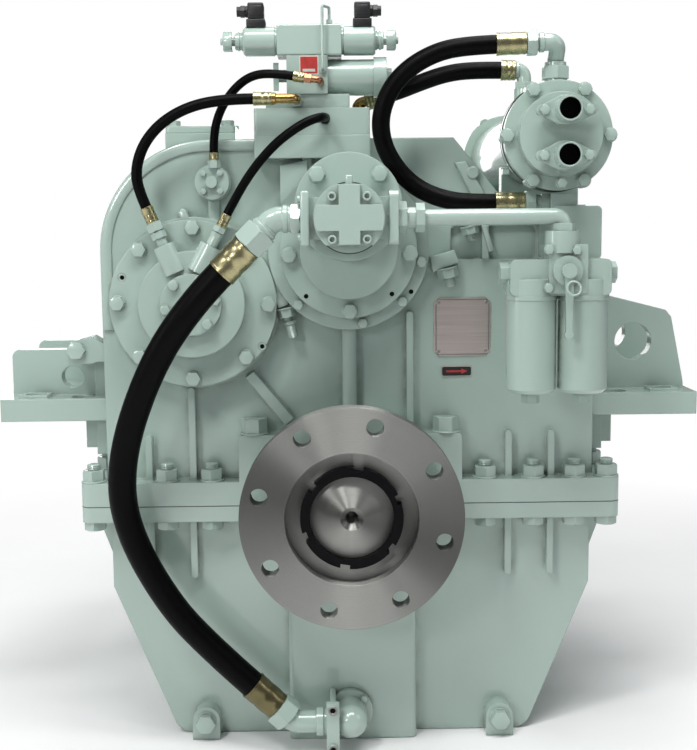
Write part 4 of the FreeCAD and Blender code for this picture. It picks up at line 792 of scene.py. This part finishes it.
def make_cooler_fittings():
    """Crimped ends, nuts and elbows of the two hoses at the oil cooler"""
    gold = Shape()
    crimped(gold, COOLER_ROUTE, False, 42, 15)
    crimped(gold, COOLER_ROUTE, True, 42, 15)
    crimped(gold, RETURN_ROUTE, False, 22, 14.5)
    crimped(gold, RETURN_ROUTE, True, 18, 14.5)
    gold.piece("cooler_ferrules", gold_zinc, replaces=["cooler_fittings"])
    painted = Shape()
    start, after = ends(COOLER_ROUTE, False, 41.5, 56)
    painted.hexagon(start, after - start, 32, 14.5, (True, True))
    painted.pipe([after, (291, 37.6, 660.4), (291, 56, 638), (291, 56, 612)], 11.6, 12)
    painted.turned(after, after - start, [(2, 11.7), (3, 13.2), (9, 13.2), (10, 11.7)])
    painted.turned((291, 56, 632), (0, 0, 1), [(-3, 15.0), (3, 15.0), (4, 11.8)])
    painted.hexagon((291, 56, 612), (0, 0, 1), 34, 18, (False, True))
    start, after = ends(COOLER_ROUTE, True, 41.5, 56)
    painted.hexagon(start, after - start, 32, 14.5, (True, True))
    painted.pipe([after, (282, 50, 442)], 11, 1)
    painted.hexagon((271, 50, 442), (1, 0, 0), 24, 11, (True, False))
    start, = ends(RETURN_ROUTE, False, 21.5)
    painted.pipe([start, (262, 148.2, 637.1), (262, 148.2, 610)], 10.5, 11)
    painted.turned(start, Vector((262, 148.2, 637.1)) - start, [(0, 12.5), (5, 12.5), (6, 10.6)])
    painted.hexagon((262, 148.2, 610), (0, 0, 1), 28, 10, (False, True))
    painted.piece("cooler_elbows", smooth_paint, replaces=["cooler_fittings"])
    bent = Shape()
    start, = ends(RETURN_ROUTE, True, 17.5)
    bent.pipe([start, (17, 190, 596), (17, 190, 581)], 8, 8.5)
    bent.hexagon((17, 190, 581), (0, 0, 1), 24, 7, (False, True))
    bent.piece("return_hose_elbow", brass, replaces=["cooler_fittings"])


def make_fasteners():
    """Chamfered heads, washers, nuts and stud ends in the places of the frame's plain ones"""
    screws = Shape()
    for points in islands("cover_screws"):
        low, high = extent(points)
        axis = head_axis(points)
        heading = outward(low, high, axis)
        middle = (low + high) / 2
        size = high - low
        across = [size[i] for i in range(3) if i != axis]
        seat = middle - heading * size[axis] / 2
        if max(across) - min(across) < ROUND_HEAD_DIFFERENCE:
            radius = across[0] / 2
            recess = size[axis] * 0.45
            screws.turned(seat, heading, [
                (0, radius), (size[axis] - 0.6, radius), (size[axis], radius - 0.6),
                (size[axis], radius * 0.55), (recess, radius * 0.5)], 32)
        else:
            flats = min(across)
            corner = max(points, key=lambda p: (p - middle).length) - middle
            side, up, along = axes_of(heading)
            turn = math.atan2(corner.dot(up), corner.dot(side))
            bolt_head(screws, seat, heading, flats, size[axis], flats > WASHER_FROM_FLATS, turn)
    screws.piece("cover_screw_heads", smooth_paint, replaces=["cover_screws"])
    bolts = Shape()
    for points in islands("joint_bolts"):
        low, high = extent(points)
        centre = (low + high) / 2
        if high.z - low.z < SHORT_JOINT_BOLT:
            bolt_head(bolts, (centre.x, centre.y, low.z), (0, 0, 1), 34, high.z - low.z, True, 0.4)
            continue
        bolt_head(bolts, (centre.x, centre.y, JOINT_TOP), (0, 0, 1), JOINT_NUT_FLATS, JOINT_NUT_HEIGHT)
        tip = (centre.x, centre.y, JOINT_TOP + JOINT_NUT_HEIGHT)
        threaded_end(bolts, tip, (0, 0, 1), JOINT_STUD_RADIUS, high.z - JOINT_TOP - JOINT_NUT_HEIGHT)
        under = (centre.x, centre.y, JOINT_BOTTOM)
        bolt_head(bolts, under, (0, 0, -1), JOINT_NUT_FLATS, JOINT_HEAD_HEIGHT, washer=False)
    bolts.piece("joint_bolt_nuts", smooth_paint, replaces=["joint_bolts"])


def make_connectors():
    """Coils with their retaining nuts, the hand override caps, and the black plugs with cable glands"""
    coils = Shape()
    plugs = Shape()
    for side, seat in ((-1, -99), (1, -7)):
        heading = (side, 0, 0)
        coils.turned((seat, COIL_Y, COIL_Z), heading, [
            (0, 6.6), (0, 19.5), (3, 19.5), (3.6, 21), (46, 21), (49, 18.5), (49, 6.6)], 56, hollow=True)
        coils.turned((seat + side * 49, COIL_Y, COIL_Z), heading, [
            (0, 6.6), (0, 13.4), (2.6, 13.4), (3, 12.2), (5, 12.2), (5.4, 13.4), (8, 13.4), (8.4, 12.2),
            (11, 12.2), (12, 11.2), (12, 6.6)], 40, hollow=True)
        cap = Shape()
        cap.turned((seat + side * 61, COIL_Y, COIL_Z), heading, [
            (-13.5, 6.3), (3.8, 6.3), (3.8, 13.2), (4.8, 14.3), (15.5, 14.4), (17.4, 13.2), (18, 11.4),
            (18, 5.2), (20.4, 5.0), (21.4, 4.2), (21.4, 2.2), (20.2, 2.0)], 48)
        name = "left" if side < 0 else "right"
        cap.piece("override_cap_" + name, smooth_paint, "override_pin_" + name + "_body",
                  ["override_pin_" + name])
        low, high = sorted((seat + side * 19, seat + side * 42))
        plugs.block((low - 2, 110, 696), (high + 2, 138, 708), 1.5)
        plugs.block((low, 110.5, 708), (high, 137.5, 731), 2.5)
        plugs.block((low + 3, 109.8, 712), (high - 3, 112, 726), 0.8)
        gland = seat + side * 40
        plugs.turned((gland, COIL_Y, 720), heading, [(0, 8.2), (5, 8.2), (6, 7.2), (18, 7.0)], 32)
        plugs.hexagon((gland + side * 6, COIL_Y, 720), heading, 15.5, 7, (True, True))
        plugs.turned(((low + high) / 2, COIL_Y, 730.5), (0, 0, 1), [
            (0, 3.5), (1.0, 3.5), (1.0, 1.6), (0.3, 1.5)], 24)
    coils.piece("coil_bodies", smooth_paint, replaces=["solenoid_coils"])
    plugs.piece("coil_plugs", plastic, replaces=["solenoid_coils"])


def make_plates():
    """Bare data plate with rivets and a raised rim, arrow plate with its arrow, and the red label"""
    rivets = Shape()
    for x in (134.5, 204.5):
        for z in (224.5, 297.5):
            rivets.turned((x, 128.5, z), (0, -1, 0), [(-0.5, 2.4), (0.5, 2.3), (1.1, 1.6), (1.4, 0.5)], 20)
    rim = 1.2
    rivets.outline_plate(rectangle(132, 219.5, 207, 219.5 + rim), 127.9, 128.6)
    rivets.outline_plate(rectangle(132, 302.5 - rim, 207, 302.5), 127.9, 128.6)
    for x in (129.5, 209.5 - rim):
        rivets.outline_plate(rectangle(x, 226, x + rim, 296), 127.9, 128.6)
    rivets.piece("plate_rivets", bare_steel)
    dark = Shape()
    dark.outline_plate([(141, 187.8), (181, 187.8), (182.6, 190), (182.6, 199), (181, 201.2), (141, 201.2),
                        (139.4, 199), (139.4, 190)], 128.0, 129.0)
    dark.piece("arrow_field", plastic)
    arrow = Shape()
    arrow.outline_plate([(145, 193), (168, 193), (168, 190.5), (177, 194.5), (168, 198.5), (168, 196),
                         (145, 196)], 127.6, 128.2)
    arrow.piece("arrow", label_red)
    border = Shape()
    border.outline_plate(rectangle(-67.5, 628, -40, 654.5), 101.8, 102.4)
    border.outline_plate(rectangle(-63, 632, -45, 636), 101.4, 102.0)
    border.piece("label_border", label_edge)
    label = Shape()
    label.outline_plate(rectangle(-66, 629.5, -41.5, 653), 101.6, 102.2)
    label.piece("valve_label", label_red)


def make_casing_details():
    """Ribs, bosses, nuts and clamp bolts on the casing, the pump's lug, jack hole rims, and painted shade:
    dark discs and liners inside small holes, jack holes and stub bores
    """
    cast = Shape()
    for outline, front, soft in (
            ([(120, 366), (156, 376), (163, 357), (124, 343)], 112, 2.0),
            ([(-130, 374), (-117, 377), (-88, 298), (-104, 292)], 104, 3.0),
            (rectangle(-66, 511, -52, 489), 112, 2.0),
            ([(157, 503), (174, 505), (202, 458), (184, 452)], 122, 2.5),
            ([(196, 412), (204, 412), (216, 374), (208, 372)], 120, 2.0),
            ([(-249, 434), (-243, 441), (-236, 438), (-226, 409), (-239, 404)], 114, 4.0)):
        cast.outline_plate(outline, front, BOSS_ROOT_Y, soft)
    cast.turned((184, 123, 488), (0, -1, 0), [(-1, 9), (2, 9), (3, 8)], 32)
    cast.block((-381, 250, 256), (-366, 450, 372), 5.0)
    for x in (-302, -150, 150, 302):
        cast.outline_plate(rectangle(x - 5, 34, x + 5, 104), 559, 573, 2.0)
        cast.outline_plate(rectangle(x - 5, -112, x + 5, -22), 559, 574, 2.0)
    cast.piece("casing_bosses", paint)
    nuts = Shape()
    slant = (0.22, 0, -0.97)
    for place, flats, height, radius, reach in (
            ((145, 119, 350), 27, 16, 8.5, 13), ((178, 121, 411), 22, 13, 6.5, 10),
            ((-94, 112, 294), 24, 15, 7.5, 12), ((-88, 112, 274), 17, 5, 7.5, 20)):
        bolt_head(nuts, place, slant, flats, height, True, 0.5)
        threaded_end(nuts, Vector(place) + Vector(slant).normalized() * height, slant, radius, reach, 2.0)
    for y in (264, 350, 436):
        for z in (270, 358):
            bolt_head(nuts, (-381, y, z), (-1, 0, 0), 19, 10)
    bolt_head(nuts, (-408, 138, 232), (0, -1, 0), 24, 14)
    nuts.block((-5, -50, 462), (5, -30, 478), 2.0)
    nuts.piece("casing_nuts", smooth_paint)
    hole_shade = Shape()
    # Painted shade: dark discs and liners stand in for the shade inside small holes, the water stubs' bores
    # and the jack holes
    for x, y, z in ((-62, 77, 312), (62, 77, 314), (91, 97, 316)):
        hole_shade.turned((x, y, z), (0, -1, 0), [(-1.0, 3.4), (0.15, 3.4), (0.15, 3.0)], 20)
    for x, z in WATER_STUBS:
        hole_shade.turned((x, STUB_FRONT_Y + 0.8, z), (0, 1, 0), [
            (0, 14.1), (22, 14.1), (22, 0.4), (21.5, 0.4), (21.5, 13.8), (0, 13.8)], 40, hollow=True)
    rims = Shape()
    for x, z in ((-330, 341), (-128, 238)):
        hole_shade.turned((x, 104, z), (0, -1, 0), [(0.0, 5.9), (4.0, 5.9)], 24)
        rims.turned((x, 100, z), (0, -1, 0), [
            (0.0, 3.3), (0.0, 6.0), (2.6, 6.0), (3.0, 3.8), (2.4, 3.3)], 24, hollow=True)
    rims.piece("jack_hole_rims", paint)
    hole_shade.piece("painted_hole_shade", black_oxide)
    make_casing_rim()
    make_seams()


def make_seams():
    """Thin dark joint lines between the castings"""
    seams = Shape()
    for (x, z), y, radius in (
            (REVERSE_AXIS, 115, 122), (INPUT_AXIS, 97, 98.5), (PUMP_AXIS, 38, 75), (COOLER_AXIS, 36, 76),
            (COOLER_AXIS, 50, 76.2), (COOLER_AXIS, 526, 76), (PUMP_MIDDLE, -48, 47.5),
            (STRAINER_AXIS, 100, 34)):
        seams.turned((x, y - 0.4, z), (0, 1, 0), [
            (0, radius - 1), (0, radius + 0.15), (0.7, radius + 0.15), (0.7, radius - 1)], 96, hollow=True)
    corner_x = JOINT_HALF_WIDTH - JOINT_CORNER
    front_y = JOINT_FRONT_Y + JOINT_CORNER
    rear_y = JOINT_REAR_Y - JOINT_CORNER
    radius = JOINT_CORNER + 0.2
    steps = 8
    ring = []
    for x, y, start in ((corner_x, front_y, -90), (corner_x, rear_y, 0), (-corner_x, rear_y, 90),
                        (-corner_x, front_y, 180)):
        for i in range(steps + 1):
            angle = math.radians(start + 90 * i / steps)
            ring.append((x + radius * math.cos(angle), y + radius * math.sin(angle)))
    seams.loft([[(x, y, z) for x, y in ring] for z in (-0.45, 0.45)])
    seams.piece("seams", seam_dark)


def make_casing_rim():
    """The raised rim that follows the upper casing's front edge, over the bulge and along the top"""
    centre = Vector((-204, 0, 377))
    foot_z = 262
    end_x = -136
    steps = 32
    lines = []
    for radius in (161.5, 146.0):
        angles = [math.pi - math.pi / 2 * i / steps for i in range(steps + 1)]
        line = [(centre.x + radius * math.cos(a), centre.z + radius * math.sin(a)) for a in angles]
        lines.append([(line[0][0], foot_z)] + line + [(end_x, centre.z + radius)])
    rings = []
    for (xo, zo), (xi, zi) in zip(*lines):
        rings.append([(xo, BOSS_ROOT_Y, zo), (xo, 126.5, zo),
                      (xo * 0.9 + xi * 0.1, 125.5, zo * 0.9 + zi * 0.1),
                      (xo * 0.25 + xi * 0.75, 125.5, zo * 0.25 + zi * 0.75),
                      (xi, 128, zi), (xi, BOSS_ROOT_Y, zi)])
    rim = Shape()
    rim.loft(rings)
    rim.piece("casing_rim", paint)


def make_cooler_and_filter_details():
    """Screws and plugs of the filter, cooler and saddles, the filter's collars, the lever's shackle"""
    small = Shape()
    for x, z in ((266, 377), (303, 376), (266, 326), (303, 326)):
        bolt_head(small, (x, -46, z), (0, -1, 0), 11, 6)
    bolt_head(small, (289, -6, 466), (0, -1, 0), 12, 9)
    bolt_head(small, (228, 70, 492), (0, 0, -1), 17, 10)
    for x in (252, 326):
        for y in (213, 483):
            bolt_head(small, (x, y, SADDLE_BOLT_SEAT), (0, 0, 1), 16, 9)
    for x in (249, 320):
        small.turned((x, -10, 315), (0, 0, -1), [(0, 35.4), (6, 35.4), (7, 34.4)], 56)
    small.turned((288, -32, 395), (0, 0, 1), [(0, 17), (4, 17), (6, 14), (7, 14)], 40)
    small.piece("small_screws", smooth_paint)
    ring = Shape()
    centre = Vector((296, -68, 326))
    steps = 32
    loop = []
    for i in range(steps + 1):
        angle = 2 * math.pi * i / steps
        loop.append(centre + Vector((9 * math.cos(angle), 2.5 * math.sin(angle), 9 * math.sin(angle))))
    ring.loft(swept_rings(loop, 1.6, 12))
    ring.piece("lever_shackle", smooth_paint)


def make_camera():
    """The photograph's viewpoint"""
    forward = Vector((math.sin(CAMERA_YAW) * math.cos(CAMERA_PITCH),
                      math.cos(CAMERA_YAW) * math.cos(CAMERA_PITCH), -math.sin(CAMERA_PITCH)))
    level = Vector((math.cos(CAMERA_YAW), -math.sin(CAMERA_YAW), 0.0))
    upright = level.cross(forward)
    right = level * math.cos(CAMERA_ROLL) - upright * math.sin(CAMERA_ROLL)
    up = upright * math.cos(CAMERA_ROLL) + level * math.sin(CAMERA_ROLL)
    data = bpy.data.cameras.new("camera")
    data.sensor_width = SENSOR_SIZE
    data.lens = FOCAL_PIXELS * SENSOR_SIZE / IMAGE_HEIGHT
    data.clip_end = 50.0
    camera = bpy.data.objects.new("camera", data)
    bpy.context.scene.collection.objects.link(camera)
    camera.matrix_world = Matrix((
        (right.x, up.x, -forward.x, CAMERA_PLACE[0] * MM),
        (right.y, up.y, -forward.y, CAMERA_PLACE[1] * MM),
        (right.z, up.z, -forward.z, CAMERA_PLACE[2] * MM),
        (0, 0, 0, 1)))
    bpy.context.scene.camera = camera


def area_light(name, place, target, size, power):
    """A soft box aimed at a point"""
    data = bpy.data.lights.new(name, "AREA")
    data.shape = "RECTANGLE"
    data.size, data.size_y = size
    data.energy = power
    light = bpy.data.objects.new(name, data)
    bpy.context.scene.collection.objects.link(light)
    light.location = place
    light.rotation_euler = (Vector(target) - Vector(place)).to_track_quat("-Z", "Y").to_euler()


def fade_to_white(s):
    """Let a floor pass into the white background away from the object, for the camera only"""
    distance = s.node("ShaderNodeVectorMath", operation="DISTANCE")
    distance.inputs[1].default_value = FLOOR_FADE_CENTRE
    s.link(s.place, distance.inputs[0])
    far = s.spread(distance.outputs["Value"], FLOOR_FADE_START, FLOOR_FADE_END)
    factor = s.times(far, s.node("ShaderNodeLightPath").outputs["Is Camera Ray"])
    white = s.node("ShaderNodeEmission")
    white.inputs["Strength"].default_value = 1.0
    mix = s.node("ShaderNodeMixShader")
    s.link(factor, mix.inputs[0])
    s.link(s.surface.outputs[0], mix.inputs[1])
    s.link(white.outputs[0], mix.inputs[2])
    s.link(mix.outputs[0], s.tree.nodes["Material Output"].inputs["Surface"])


def make_stage():
    """Pale floor, soft light, and surroundings that are white for the camera and dim for the object"""
    shape = Shape()
    floor_z = cad_low[2] / MM - 0.5
    shape.loft([[(-6000, y, floor_z), (6000, y, floor_z)] for y in (-4000, 6000)],
               close_ends=False, closed_rings=False)
    s = Shader("floor", roughness=0.7)
    tone = s.spread(s.noise(3.0, 3.0), 0.3, 0.7)
    s.feed("Base Color", s.mix(tone, (0.93, 0.93, 0.93), (0.95, 0.95, 0.95)))
    fade_to_white(s)
    floor = shape.piece("floor", s.material)
    world = bpy.data.worlds.new("studio")
    bpy.context.scene.world = world
    world.use_nodes = True
    tree = world.node_tree
    seen = tree.nodes["Background"]
    seen.inputs["Color"].default_value = (1.0, 1.0, 1.0, 1.0)
    seen.inputs["Strength"].default_value = 1.0
    lit = tree.nodes.new("ShaderNodeBackground")
    lit.inputs["Color"].default_value = (0.93, 0.96, 1.0, 1.0)
    lit.inputs["Strength"].default_value = SURROUND_STRENGTH
    path = tree.nodes.new("ShaderNodeLightPath")
    mix = tree.nodes.new("ShaderNodeMixShader")
    tree.links.new(path.outputs["Is Camera Ray"], mix.inputs[0])
    tree.links.new(lit.outputs[0], mix.inputs[1])
    tree.links.new(seen.outputs[0], mix.inputs[2])
    tree.links.new(mix.outputs[0], tree.nodes["World Output"].inputs["Surface"])
    target = (0.0, 0.2, 0.15)
    area_light("key", (-1.1, -1.5, 2.4), target, (0.5, 0.5), 30.0)
    area_light("top", (0.2, -1.1, 2.7), target, (1.6, 0.5), 46.0)
    area_light("overhead", (0.4, 0.3, 2.7), target, (2.0, 1.2), 34.0)
    area_light("front", (-1.7, -2.6, 1.1), (0.0, 0.1, 0.35), (0.5, 0.5), 17.0)
    area_light("fill", (2.4, -1.0, 1.3), target, (0.5, 1.6), 8.0)
    area_light("left", (-2.3, -0.5, 0.9), target, (0.4, 1.6), 10.0)
    area_light("back", (-0.6, 3.2, 1.2), target, (2.0, 2.0), 26.0)
    bpy.context.scene.view_settings.view_transform = "Standard"


dress_frame()
make_hoses()
make_suction_fittings()
make_pilot_fittings()
make_cooler_fittings()
make_fasteners()
make_connectors()
make_plates()
make_casing_details()
make_cooler_and_filter_details()
make_camera()
make_stage()
